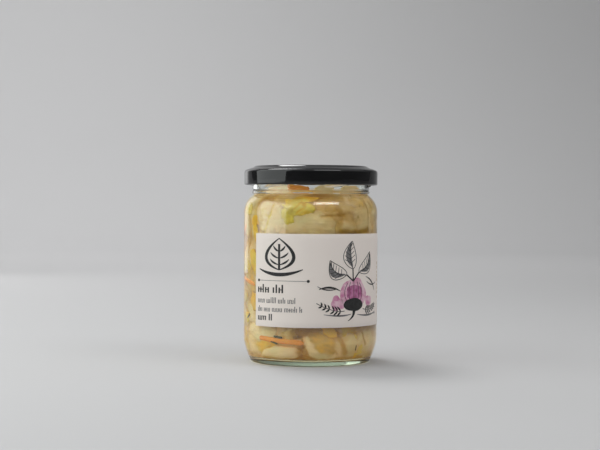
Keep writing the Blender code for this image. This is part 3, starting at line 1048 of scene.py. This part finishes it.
@dataclass
class Mark:
    """A fold, stain or painted shade on the heap's face, along a path of (angle, height) points.

    It is pushed in this deep, coloured this much and fades out over its width; dark is mostly painted
    shade.
    """

    path: tuple
    width: float
    deep: float = 0.0
    leafy: float = 0.0
    stained: float = 0.0
    dark: float = 0.0

    def __post_init__(self):
        self.points = [(math.radians(angle) * WALL_RADIUS, height) for angle, height in self.path]
        reach = 2.4 * self.width
        self.left = min(point[0] for point in self.points) - reach
        self.right = max(point[0] for point in self.points) + reach
        self.low = min(point[1] for point in self.points) - reach
        self.high = max(point[1] for point in self.points) + reach

    def weight(self, along, height):
        """How much of the mark is felt this far round the wall and at this height."""
        if not (self.left < along < self.right and self.low < height < self.high):
            return 0.0
        if len(self.points) == 1:
            away = math.dist(self.points[0], (along, height))
        else:
            away = min(
                line_distance(along, height, *first, *second)
                for first, second in zip(self.points, self.points[1:])
            )
        return math.exp(-((away / self.width) ** 2))


class Heap:
    """Many small closed pieces gathered into one mesh, each point with a colour and a grain."""

    def __init__(self):
        self.points = []
        self.faces = []
        self.tints = []
        self.grains = []

    def add(self, points, faces, tints, grains):
        first = len(self.points)
        self.points += points
        self.faces += [[first + corner for corner in face] for face in faces]
        self.tints += tints
        self.grains += grains

    def make(self, name, material):
        piece = dressed(name, self.points, self.faces, material)
        tint = piece.data.attributes.new("tint", "FLOAT_COLOR", "POINT")
        tint.data.foreach_set("color", [value for values in self.tints for value in values])
        grain = piece.data.attributes.new("grain", "FLOAT_VECTOR", "POINT")
        grain.data.foreach_set("vector", [value for values in self.grains for value in (*values, 0.0)])
        return piece


def line_distance(x, y, x0, y0, x1, y1):
    """The distance from a point to the line between two others."""
    dx = x1 - x0
    dy = y1 - y0
    share = ((x - x0) * dx + (y - y0) * dy) / (dx * dx + dy * dy)
    share = min(1.0, max(0.0, share))
    return math.hypot(x - x0 - dx * share, y - y0 - dy * share)


def marks_at(angle, height):
    """How deep the marks are pushed in here, and how leafy, stained and dark, mostly painted shade, they
    make the place.
    """
    along = math.radians((angle + 180) % 360 - 180) * WALL_RADIUS
    along += 0.7 * noise.noise(Vector((along * 0.22, height * 0.22, 2.0)))
    height += 0.7 * noise.noise(Vector((along * 0.22, height * 0.22, 8.0)))
    deep = leafy = stained = dark = 0.0
    for mark in MARKS:
        weight = mark.weight(along, height)
        if weight > 0.01:
            deep += weight * mark.deep
            leafy += weight * mark.leafy
            stained += weight * mark.stained
            dark += weight * mark.dark
    return deep, leafy, stained, dark


def tinted(leafy, stained, chance, dark):
    return tuple(min(1.0, max(0.0, value)) for value in (leafy, stained, chance, dark))


def block_skin(counts):
    """Points from -1 to 1 each way, and square faces, of a block's skin with this many squares each way."""
    index = {}
    points = []
    faces = []

    def corner(key):
        if key not in index:
            index[key] = len(points)
            points.append(Vector([2 * place / count - 1 for place, count in zip(key, counts)]))
        return index[key]

    for axis in range(3):
        first, second = [other for other in range(3) if other != axis]
        for level in (0, counts[axis]):
            for i in range(counts[first]):
                for j in range(counts[second]):
                    face = []
                    for a, b in ((i, j), (i + 1, j), (i + 1, j + 1), (i, j + 1)):
                        key = [0, 0, 0]
                        key[axis], key[first], key[second] = level, a, b
                        face.append(corner(tuple(key)))
                    faces.append(face)
    return points, faces


def add_chunk(heap, chunk, seed, step):
    """Adds a chunk to the heap as a closed mesh, with squares of about step millimetres."""
    counts = [max(6, round(size / step)) for size in (chunk.wide, chunk.tall)]
    counts.append(max(3, round(chunk.thick / step / 1.5)))
    unit, faces = block_skin(counts)
    spin = math.radians(chunk.turn)
    lean = math.tan(math.radians(chunk.tuck))
    points = []
    tints = []
    grains = []
    chance = random.Random(seed).random()
    for corner in unit:
        size = sum(abs(value) ** chunk.power for value in corner) ** (1 / chunk.power)
        x, y, z = corner / size
        edge = max(abs(x), abs(y)) ** 3
        ragged = 1 + chunk.ragged * noise.noise(Vector((x * 1.3, y * 1.3, seed * 1.7)))
        ragged += 0.5 * chunk.ragged * edge * noise.noise(Vector((x * 4.5, y * 4.5, seed * 2.3)))
        across = chunk.wide / 2 * x * ragged
        along = chunk.tall / 2 * y * ragged
        side = across * math.cos(spin) - along * math.sin(spin)
        up = across * math.sin(spin) + along * math.cos(spin)
        level = min(max(chunk.height + up, FILL_LOW), FILL_HIGH)
        limit = fill_radius(level)
        angle = chunk.angle + math.degrees(side / limit)
        deep, leafy, stained, dark = marks_at(angle, level)
        relief = chunk.lumps * noise.noise(Vector((across * 0.11, along * 0.15, seed * 3.1)))
        relief += chunk.fibres * noise.noise(Vector((across * 0.12, along * 0.95, seed * 5.3)))
        relief += chunk.ruffle * edge * noise.noise(Vector((x * 3.2, y * 3.2, seed * 7.9)))
        relief += 0.5 * chunk.ruffle * noise.noise(Vector((across * 0.45, along * 0.45, seed * 9.7)))
        depth = chunk.thick / 2 * (1 - z) + lean * (across + chunk.wide / 2) + chunk.sunk + relief + deep
        pressed_in = CHUNK_FLAT - depth
        softness = CONTACT_SOFTNESS
        radius = limit - softness * math.log(1 + math.exp(min(40.0, -pressed_in / softness)))
        points.append(on_jar(radius, angle, level))
        leafy += chunk.leafy + chunk.leafy_end * smooth((x + 0.2) / 1.1)
        # painted shade: more amber where the surface lies back from the glass
        stained += chunk.stained + 0.12 * min(4.0, max(0.0, limit - radius))
        tints.append(tinted(leafy, stained, chance, dark))
        sway = 2.2 * noise.noise(Vector((across * 0.07, along * 0.1, seed * 4.3)))
        grains.append((across + seed * 17.0, along + sway + seed * 5.0))
    heap.add(points, faces, tints, grains)


def add_strip(heap, start, end, side, seed, press=0.05):
    """Adds a cut strip with rounded corners that follows the wall from one (angle, height) to another."""
    steps = 40
    corners = 16
    points = []
    tints = []
    grains = []
    for i in range(steps + 1):
        along = i / steps
        taper = 0.35 + 0.65 * smooth(min(along, 1 - along) * 14)
        angle = start[0] + (end[0] - start[0]) * along
        wave = 0.35 * noise.noise(Vector((along * 3.1, seed, 0)))
        height = start[1] + (end[1] - start[1]) * along + wave
        half = side / 2 * taper * (1 + 0.12 * noise.noise(Vector((along * 4, seed, 5))))
        middle = min(fill_radius(height - side / 2), fill_radius(height + side / 2)) - press - side / 2
        for j in range(corners):
            turn = math.tau * j / corners
            c = math.cos(turn)
            s = math.sin(turn)
            square = (abs(c) ** 4 + abs(s) ** 4) ** -0.25
            points.append(on_jar(middle + half * c * square, angle, height + half * s * square))
            tints.append((0.0, 0.0, 0.5, 0.0))
            grains.append((along * 30, s * square * half + seed * 9))
    heap.add(points, tube_faces(0, steps + 1, corners), tints, grains)


FRONT_RIBS = [
    # the pale piece on the left of the shoulder
    Chunk(-40, 91.0, 25, 27, 6, 10, 1.5, sunk=0.2, stained=0.0, lumps=0.9, ragged=0.34),
    # the large pale slab in the middle, with darker ones above it and to its right
    Chunk(1, 88, 39, 24, 6, -9, 1, stained=0.12, lumps=1.0),
    Chunk(12, 99, 26, 12, 5, 6, 2, sunk=0.9, stained=0.38, lumps=1.2),
    Chunk(34, 92, 22, 27, 6, -8, 1, sunk=0.3, stained=0.3),
    Chunk(54, 92, 22, 30, 6, 4, 2, sunk=0.2, stained=0.2),
    # below the label: the long pale piece, the white oval, the big folded slab and those beside it
    Chunk(-50, 20.5, 30, 13, 6, -3, 1, stained=0.08),
    Chunk(-31, 8.6, 33, 9.6, 5, 5, 0, stained=0.0, lumps=0.5, ragged=0.2, power=1.75),
    Chunk(12.5, 12.6, 31, 21, 6, -14, 0, stained=0.18, lumps=0.6, ragged=0.12),
    Chunk(38, 12, 26, 19, 6, 4, 1, sunk=0.4, stained=0.2),
    Chunk(60, 12.5, 22, 23, 6, 3, 1, sunk=0.2, stained=0.25),
    # what stands up into the neck
    Chunk(-38, 109.8, 23, 7.6, 4, 4, 0, stained=0.0),
    Chunk(14, 109.8, 15, 6.4, 4, -6, 0, stained=0.08),
    Chunk(49, 109.0, 25, 7.6, 4, -4, 0, stained=0.0),
]

LEAF = {"ragged": 0.35, "power": 1.8}
FRONT_LEAVES = [
    # the frilly leaf left of the middle
    Chunk(-21.0, 94.5, 8.5, 13, 2.6, 15, leafy=0.9, stained=0.0, ruffle=1.5, ragged=0.45, power=1.8),
    Chunk(-12.0, 98.6, 19, 12, 2.6, -12, leafy=0.7, stained=0.3, ruffle=1.5, ragged=0.4, power=1.8),
    Chunk(-8.0, 103.0, 20, 3.6, 2.2, 2, leafy=0.75, stained=0.3, ruffle=0.8, ragged=0.3, power=1.8),
    # the frill and the yellow slips below the label
    Chunk(-19.5, 20.0, 11, 6.4, 2.4, 8, leafy=0.1, stained=0.4, ruffle=1.8, ragged=0.45),
    Chunk(17.0, 22.0, 11, 6.0, 2.2, -16, sunk=-0.8, leafy=1.0, stained=0.9, ruffle=0.9, **LEAF),
    # slips of leaf at the left edge of the front
    Chunk(-59.0, 90.5, 8, 7, 2.2, 0, sunk=-0.6, leafy=0.9, stained=0.95, ruffle=0.8, ragged=0.35),
    Chunk(-57.5, 83, 13, 6, 2.2, -80, sunk=-0.6, leafy=0.9, stained=0.7, ruffle=0.8, **LEAF),
    Chunk(-61, 65, 16, 9, 2.2, -80, sunk=-0.6, leafy=1.0, stained=0.6, ruffle=0.9, **LEAF),
    Chunk(-60, 40, 12, 8, 2.2, -75, sunk=-0.6, leafy=0.8, stained=1.0, ruffle=0.9, **LEAF),
]

# Marks: path, width, deep, leafy, stained, dark; dark is painted shade in folds and gaps, but for a few
# veins and specks
MARK_PLACES = [
    # the leaf's line down the pale piece, and the yellow to its left
    (((-36.1, 100.3), (-40.4, 92.2), (-45.1, 83.3)), 1.1, 0.6, 0.6, 0.1),
    (((-49, 97), (-52, 84)), 3.4, 0.2, 0.4, 0.1),
    (((-43.5, 94.4), (-40.0, 93.6)), 1.0, 0.1, 0.5, 0.0),
    (((-34, 84), (-24, 88)), 3.0, 0.0, 0.1, -0.1),
    # the veins of the frilly leaf
    (((-17.5, 96.6), (-8.9, 101.8)), 0.6, 0.3, 0.1, 0.4, 0.1),
    (((-13.0, 95.6), (-5.4, 99.4)), 0.6, 0.3, 0.1, 0.4, 0.1),
    (((-7.5, 100.5), (-6.0, 100.8)), 0.9, 0.3, 0.1, 0.7, 0.2),
    (((-18, 103.8), (-9, 103.4)), 0.9, 0.2, 0.4, 0.3, 0.2),
    # the slab in the middle: its pale end, the tan places round it with painted shade in their folds and
    # over the right side, and a few dark specks
    (((1, 97), (8, 97)), 2.6, 0.0, 0.16, -0.2),
    (((4, 101), (22, 99.5)), 3.4, 0.4, 0.0, 0.2),
    (((9, 93.5), (20, 94.2), (31, 95)), 0.8, 0.6, 0.0, 0.3, 0.06),
    (((25, 86), (27.5, 92), (26, 97)), 1.6, 0.5, 0.05, 0.15, 0.04),
    (((29.7, 101), (36.8, 91)), 5.0, 0.0, 0.10, 0.1, 0.07),
    (((45, 92), (52, 88)), 6.0, 0.0, 0.06, 0.0, 0.07),
    (((-4, 104.8), (12, 104.2), (30, 103.6)), 2.2, 0.5, 0.0, 0.45, 0.07),
    (((24, 101.8), (40, 102.6), (58, 102.0)), 2.6, 0.3, 0.05, 0.3, 0.07),
    (((44.6, 105.2),), 0.8, 0.1, 0.0, 0.4, 0.3),
    (((49.7, 99.6),), 0.7, 0.1, 0.0, 0.4, 0.3),
    (((46.5, 93.4),), 0.6, 0.1, 0.0, 0.4, 0.25),
    (((59.5, 101.9), (61.6, 93.0), (61.6, 84.4)), 0.8, 0.5, 0.0, 0.3, 0.2),
    (((68, 103), (69, 84)), 4.0, 0.0, 0.0, -0.4),
    (((-52, 102.5), (-36, 104.0), (-22, 102.6)), 1.8, 0.4, 0.15, 0.3),
    (((40, 101.5), (56, 100.5)), 2.2, 0.4, 0.05, 0.3, 0.04),
    # the olive fold over the label's top edge on the right, darkened with painted shade
    (((28, 84.4), (37, 83.6)), 1.7, 0.5, 0.5, 0.6, 0.35),
    (((41, 83.2), (60, 84.8)), 2.0, 0.5, 0.6, 0.7, 0.5),
    # the gap beside the carrot with its painted shadow, and the brown of the brine, deepened with painted
    # shade, between the white oval and the slab
    (((-14, 20.6), (-2, 22.6)), 2.6, 1.4, 0.15, 1.0, 0.12),
    (((-14.5, 18.4), (-9, 18.9)), 0.9, 0.6, 0.0, 0.4, 0.6),
    (((-8.6, 4.6), (-7.6, 12.0)), 2.6, 1.8, 0.1, 1.0, 0.12),
    (((-52, 12), (-46, 14)), 2.8, 0.3, 0.4, 0.3),
    # the big slab's pale rim, its hollow and fold with their painted shadows, and painted shade along the
    # heap's foot
    (((-3.1, 18.4), (-3.1, 13.8), (1.9, 9.2), (9.4, 6.6), (20.5, 5.8)), 2.2, -0.3, 0.0, -0.5),
    (((-7.4, 17.0), (-6.8, 12.6), (-2.0, 7.6), (4.0, 4.6)), 0.8, 1.2, 0.0, 0.8, 0.14),
    (((3, 19.8), (18, 15.8)), 3.8, 0.3, 0.45, 0.95),
    (((1.1, 16.6), (7.7, 15.4), (12.6, 12.6), (18.4, 11.8), (24.7, 8.6)), 0.9, 0.45, 0.0, 0.4, 0.03),
    (((11.5, 14.6), (15.5, 13.8)), 0.6, 0.15, 0.1, 0.8, 0.2),
    (((17.0, 10.6), (21.5, 9.0)), 0.6, 0.15, 0.1, 0.8, 0.2),
    (((6.5, 12.6), (9.5, 10.4)), 1.6, 0.1, 0.25, 0.2),
    (((-52, 5.2), (-30, 4.8), (36, 5.0), (58, 5.4)), 1.0, 0.3, 0.0, 0.9, 0.08),
    (((23, 22), (29, 15), (34, 9)), 1.6, 0.7, 0.1, 0.6, 0.05),
    (((5, 13.5), (17, 9.5)), 3.4, 0.1, 0.25, 0.4),
    (((53.9, 20.6), (54.8, 16.5), (57.8, 13.5)), 0.8, 0.8, 0.1, 0.5, 0.25),
    # painted shadow under the label's lower edge
    (((-12, 24.3), (60, 24.6)), 0.9, 0.2, 0.0, 0.5, 0.12),
    # folds and stains in the clear window, the folds darkened with painted shade
    (((-65, 58), (-62, 49), (-65, 41)), 3.2, 0.2, 0.45, 0.5),
    (((-66, 35), (-62, 24)), 4.0, 0.1, -0.1, -0.5),
    (((-56, 101), (-59, 86)), 2.0, 0.1, 0.25, 0.2),
    (((-70, 97), (-66, 84), (-72, 70)), 1.3, 0.9, 0.4, 0.3),
    (((-92, 92), (-83, 80), (-86, 66)), 1.2, 1.0, 0.0, 0.5, 0.1),
    (((-112, 85), (-104, 74)), 1.4, 1.0, 0.4, 0.4),
    (((-75, 58), (-100, 52)), 1.3, 1.0, 0.2, 0.6, 0.15),
    (((-68, 30), (-84, 38), (-98, 34)), 1.4, 1.0, 0.5, 0.5),
    (((-108, 48), (-118, 36)), 2.6, 0.4, 0.7, 0.5),
    (((-88, 22), (-74, 14)), 1.2, 0.9, 0.0, 0.6, 0.15),
    (((-78, 76), (-80, 72)), 3.0, 0.2, 0.7, 0.5),
    (((-96, 12), (-120, 20)), 2.8, 0.3, 0.5, 0.3),
]
MARKS = [Mark(*place) for place in MARK_PLACES]

# Sticks of carrot: where they start and end, and their thickness
CARROTS = [
    ((-53, 17.4), (-6, 15.0), 3.1),
    ((-26, 112.4), (-2, 111.0), 2.6),
    ((-86, 54), (-57, 50.3), 2.6),
    ((-104, 76), (-76, 88), 2.6),
    ((-128, 38), (-100, 27), 2.6),
    ((105, 93), (140, 97), 2.6),
    ((172, 12), (206, 15), 2.6),
    ((196, 90), (224, 84), 2.6),
]

# Snips of green onion: angle, height, length, turn
GREENS = [
    (-30, 18.4, 6.0, -6),
    (-34, 15.0, 5.0, -14),
    (45.2, 11.6, 2.6, 92),
    (-70, 30, 4.0, 40),
    (-95, 62, 4.5, -30),
    (-112, 18, 4.0, 10),
    (150, 95, 4.0, 20),
    (190, 14, 4.0, -15),
    (240, 55, 4.5, 60),
    (120, 14, 4.0, 35),
]

# Rows of chunks that fill the rest of the wall: height, first and last angle, count, wide, tall
CHUNK_ROWS = [
    (15, 96, 300, 6, 36, 21),
    (35, 240, 304, 2, 34, 20),
    (54, 238, 300, 2, 36, 22),
    (73, 240, 304, 2, 34, 20),
    (92, 92, 294, 6, 36, 25),
    (109, -20, 290, 6, 32, 13),
]
CHUNK_SEED = 11
ANGLE_SCATTER = 3.0
HEIGHT_SCATTER = 1.5
SIZE_SCATTER = (0.85, 1.12)
THICK_SCATTER = (0.8, 1.1)
TURN_SCATTER = 16.0
TUCK_SCATTER = (2.0, 9.0)


def scattered_chunks():
    """The rows of chunks round the back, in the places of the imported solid's own."""
    draw = random.Random(CHUNK_SEED)
    look = random.Random(CHUNK_SEED + 1)
    chunks = []
    for height, first, last, count, wide, tall in CHUNK_ROWS:
        for i in range(count):
            angle = first + (last - first) * i / (count - 1) + draw.uniform(-ANGLE_SCATTER, ANGLE_SCATTER)
            level = height + draw.uniform(-HEIGHT_SCATTER, HEIGHT_SCATTER)
            size = draw.uniform(*SIZE_SCATTER)
            thick = 6.0 * draw.uniform(*THICK_SCATTER)
            turn = draw.uniform(-TURN_SCATTER, TURN_SCATTER)
            tuck = draw.uniform(*TUCK_SCATTER)
            made = Chunk(angle, level, wide * size, tall * size, thick, turn, tuck * 0.3)
            if height > SHOULDER_START:
                made.height -= NECK_DROP
                made.tall *= 0.8
            made.stained = look.uniform(0.0, 0.4)
            made.leafy = look.choice([0.0, 0.0, 0.05, 0.2])
            made.leafy_end = look.choice([0.0, 0.0, 0.3, 0.6])
            made.sunk = look.uniform(0.0, 0.5)
            chunks.append(made)
    return chunks


def scattered_leaves():
    """Slips of leaf between the chunks of the window and the back."""
    draw = random.Random(CHUNK_SEED + 5)
    leaves = []
    for height in (12, 28, 45, 62, 80, 97):
        for angle in (236, 262, 286):
            if height in (12, 97) or draw.random() < 0.75:
                leaves.append(loose_leaf(draw, angle, height))
    for angle in (100, 128, 160, 190, 215):
        leaves.append(loose_leaf(draw, angle, 100))
        leaves.append(loose_leaf(draw, angle + 12, 14))
    return leaves


def loose_leaf(draw, angle, height):
    place = (angle + draw.uniform(-7, 7), height + draw.uniform(-4, 4))
    leaf = Chunk(*place, draw.uniform(10, 20), draw.uniform(5, 9))
    leaf.thick = 2.4
    leaf.turn = draw.uniform(-80, 80)
    leaf.leafy = draw.uniform(0.2, 0.9)
    leaf.stained = draw.uniform(0.0, 0.6)
    leaf.ruffle = draw.uniform(1.0, 2.0)
    leaf.ragged = 0.5
    leaf.power = 1.8
    return leaf


def add_core(heap):
    """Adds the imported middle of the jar: soft folded leaves, seen wherever no piece lies over them."""
    columns = 330
    rows = 118
    points = []
    tints = []
    grains = []
    for row in range(rows + 1):
        height = FILL_LOW + 0.2 + (CORE_TOP - FILL_LOW) * row / rows
        for column in range(columns):
            angle = 360 * column / columns
            place = on_jar(38, angle, height) / MM
            wide = noise.noise(place * 0.055)
            fold = abs(noise.noise(place * 0.075 + Vector((7, 3, 1))) + 0.3 * noise.noise(place * 0.21))
            crease = math.exp(-((fold / 0.06) ** 2))
            fine = noise.noise(place * 0.33)
            deep, leafy, stained, dark = marks_at(angle, height)
            inset = CORE_INSET + 0.9 * wide + 1.1 * crease + 0.35 * fine + 0.7 * deep
            points.append(on_jar(fill_radius(height) - max(0.3, inset), angle, height))
            leafy += 0.7 * smooth((noise.noise(place * 0.06 + Vector((1, 9, 4))) - 0.12) / 0.25)
            # painted shade: the core is more amber where it lies deeper, and more amber and darker in its
            # creases
            stained += 0.35 + 0.3 * crease + 0.25 * wide
            tints.append(tinted(leafy, stained, 0.5, dark + 0.12 * crease))
            grains.append((math.radians(angle) * 38, height + 3 * wide))
    faces = []
    for row in range(rows):
        for column in range(columns):
            after = (column + 1) % columns
            low = row * columns
            faces.append([low + column, low + after, low + columns + after, low + columns + column])
    for height, ring in ((CORE_FOOT, 0), (CORE_TOP + 1.0, rows * columns)):
        points.append(on_jar(0, 0, height))
        tints.append((0.1, 0.5, 0.5, 0.0))
        grains.append((0.0, 0.0))
        for column in range(columns):
            faces.append([ring + column, ring + (column + 1) % columns, len(points) - 1])
    heap.add(points, faces, tints, grains)


def make_kimchi():
    rib = kimchi_finish("cabbage rib", (0.91, 0.79, 0.58), (0.62, 0.43, 0.15), 0.0004, (3.0, 2.2, 1.2))
    leaf = kimchi_finish("cabbage leaf", (0.84, 0.72, 0.40), (0.58, 0.39, 0.10), 0.0005, (1.6, 1.2, 0.5))
    heart = kimchi_finish("cabbage heart", (0.84, 0.69, 0.44), (0.54, 0.34, 0.09), 0.0005, (3.0, 2.0, 1.0))
    core = Heap()
    add_core(core)
    ribs = Heap()
    for number, chunk in enumerate(FRONT_RIBS):
        add_chunk(ribs, chunk, number + 1, 0.65)
    leaves = Heap()
    for number, chunk in enumerate(FRONT_LEAVES):
        add_chunk(leaves, chunk, number + 31, 0.4)
    back = Heap()
    for number, chunk in enumerate(scattered_chunks()):
        add_chunk(back, chunk, number + 61, 1.0)
    slips = Heap()
    for number, chunk in enumerate(scattered_leaves()):
        add_chunk(slips, chunk, number + 121, 0.6)
    sticks = Heap()
    for number, (start, end, side) in enumerate(CARROTS):
        add_strip(sticks, start, end, side, number + 1)
    snips = Heap()
    for number, (angle, height, length, turn) in enumerate(GREENS):
        half = math.radians(turn)
        reach = math.degrees(length / 2 * math.cos(half) / WALL_RADIUS)
        rise = length / 2 * math.sin(half)
        ends = (angle - reach, height - rise), (angle + reach, height + rise)
        add_strip(snips, *ends, 1.2, number + 20, 0.0)
    pieces = [
        core.make("kimchi_core", heart),
        ribs.make("kimchi_ribs_front", rib),
        back.make("kimchi_ribs_round", rib),
        leaves.make("kimchi_leaves_front", leaf),
        slips.make("kimchi_leaves_round", leaf),
        sticks.make("kimchi_carrot", carrot_finish()),
        snips.make("kimchi_greens", herb_finish()),
    ]
    for piece in pieces:
        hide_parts("kimchi")


def make_brine():
    """The brine that fills the jar: it reaches just into the glass, so that no air gap shows."""
    wall = [(radius, height) for radius, height in glass_inside() if height < BRINE_LEVEL + 1.0]
    edge = inner_radius(BRINE_LEVEL + 1.0)
    outline = [(0.0, BRINE_LEVEL), (edge - 3.5, BRINE_LEVEL), (edge - 1.2, BRINE_LEVEL + 0.25)]
    outline.append((edge + BRINE_REACH, BRINE_LEVEL + 1.0))
    for radius, height in wall:
        if radius > 31:
            outline.append((radius + BRINE_REACH, height - (BRINE_REACH if height < 8 else 0)))
        else:
            outline.append((radius, height - BRINE_REACH))
    points, faces = turned_shape(outline, SEGMENTS)
    dressed("brine", points, faces, brine_finish())


# Studio


def make_sweep():
    """A pale floor that curves up into a backdrop."""
    profile = [(-1.6, 0.0), (0.0, 0.0), (1.9, 0.0)]
    profile += arc((1.9, 0.9), 0.9, -90, 0, 16)[1:]
    profile += [(2.8, 2.2), (2.8, 3.6)]
    points = [Vector((side, y, z)) for y, z in profile for side in (-4.0, -2.0, 0.0, 2.0, 4.0)]
    faces = []
    for row in range(len(profile) - 1):
        for column in range(4):
            a = row * 5 + column
            faces.append([a, a + 1, a + 6, a + 5])
    mesh = bpy.data.meshes.new("sweep")
    mesh.from_pydata(points, [], faces)
    mesh.materials.append(studio_finish())
    mesh.shade_smooth()
    sweep = bpy.data.objects.new("sweep", mesh)
    bpy.context.scene.collection.objects.link(sweep)


def make_panel(name, place, aim, width, height, radiance, turn=0.0, lights=True, shines=True, tone=None):
    """A soft light at a place, facing its aim and turned round its middle: its surface looks this bright.

    It lights what is matt only where lights is set, and is reflected only where shines is.
    """
    lamp = bpy.data.lights.new(name, "AREA")
    lamp.shape = "RECTANGLE"
    lamp.size = width
    lamp.size_y = height
    lamp.energy = radiance * math.pi * width * height
    lamp.color = tone or (1.0, 1.0, 1.0)
    panel = bpy.data.objects.new(name, lamp)
    panel.location = place
    facing = (Vector(place) - Vector(aim)).to_track_quat("Z", "Y").to_matrix()
    panel.rotation_euler = (facing @ Matrix.Rotation(math.radians(turn), 3, "Z")).to_euler()
    panel.visible_camera = False
    panel.visible_diffuse = lights
    panel.visible_glossy = shines
    panel.visible_transmission = shines
    bpy.context.scene.collection.objects.link(panel)


def seen_from_jar(azimuth, elevation, distance):
    """The place this far from the middle of the jar on this side."""
    turn = math.radians(azimuth)
    rise = math.radians(elevation)
    way = Vector((math.sin(turn) * math.cos(rise), -math.cos(turn) * math.cos(rise), math.sin(rise)))
    return JAR_MIDDLE + way * distance


def make_world():
    """Soft light from all round: dim at eye level and pale overhead."""
    world = bpy.data.worlds.new("studio")
    bpy.context.scene.world = world
    made = Finish(world)
    way = made.node("ShaderNodeTexCoord", out="Generated")
    rise = made.split(way)[2]
    tone = made.mixed(rise.between(0.12, 0.8), (0.11, 0.11, 0.112), (0.62, 0.62, 0.63))
    seen = made.node("ShaderNodeLightPath", out="Is Camera Ray")
    tone = made.mixed(seen, tone, (0.52, 0.52, 0.525))
    shown = made.node("ShaderNodeBackground", {}, {"Color": tone, "Strength": 1.0})
    made.node("ShaderNodeOutputWorld", {}, {"Surface": shown})


def make_camera():
    camera = bpy.data.objects.new("camera", bpy.data.cameras.new("camera"))
    camera.data.lens = CAMERA_LENS
    camera.data.sensor_width = 36
    camera.location = CAMERA_PLACE
    level = Euler((math.radians(90 - CAMERA_DOWN), 0, 0)).to_matrix()
    camera.rotation_euler = (level @ Matrix.Rotation(math.radians(CAMERA_ROLL), 3, "Z")).to_euler()
    bpy.context.scene.collection.objects.link(camera)
    bpy.context.scene.camera = camera


def make_studio():
    make_sweep()
    make_world()
    left = seen_from_jar(-74, 22, 1.0)
    make_panel("left_panel", left, JAR_MIDDLE, 1.25, 0.9, 1.65, tone=(0.95, 1.0, 0.985))
    make_panel("left_back_panel", seen_from_jar(-146, 16, 1.1), JAR_MIDDLE, 0.36, 0.8, 0.8)
    make_panel("key_panel", seen_from_jar(-145, 61, 1.3), JAR_MIDDLE, 0.46, 0.46, 11.2)
    make_panel("right_panel", seen_from_jar(58, 40, 1.2), JAR_MIDDLE, 0.7, 0.55, 2.6, shines=False)
    make_panel("shine_panel", seen_from_jar(37, 53, 1.3), JAR_MIDDLE, 0.84, 0.19, 7.5, -10, lights=False)
    make_panel("wall_wash", (-0.5, 1.0, 2.0), (-0.45, 2.0, 1.65), 1.5, 0.6, 6.9)
    bpy.context.scene.view_settings.view_transform = "Standard"


make_studio()
make_camera()
make_glass()
make_lid()
make_lining()
make_label()
make_print()
make_kimchi()
make_brine()
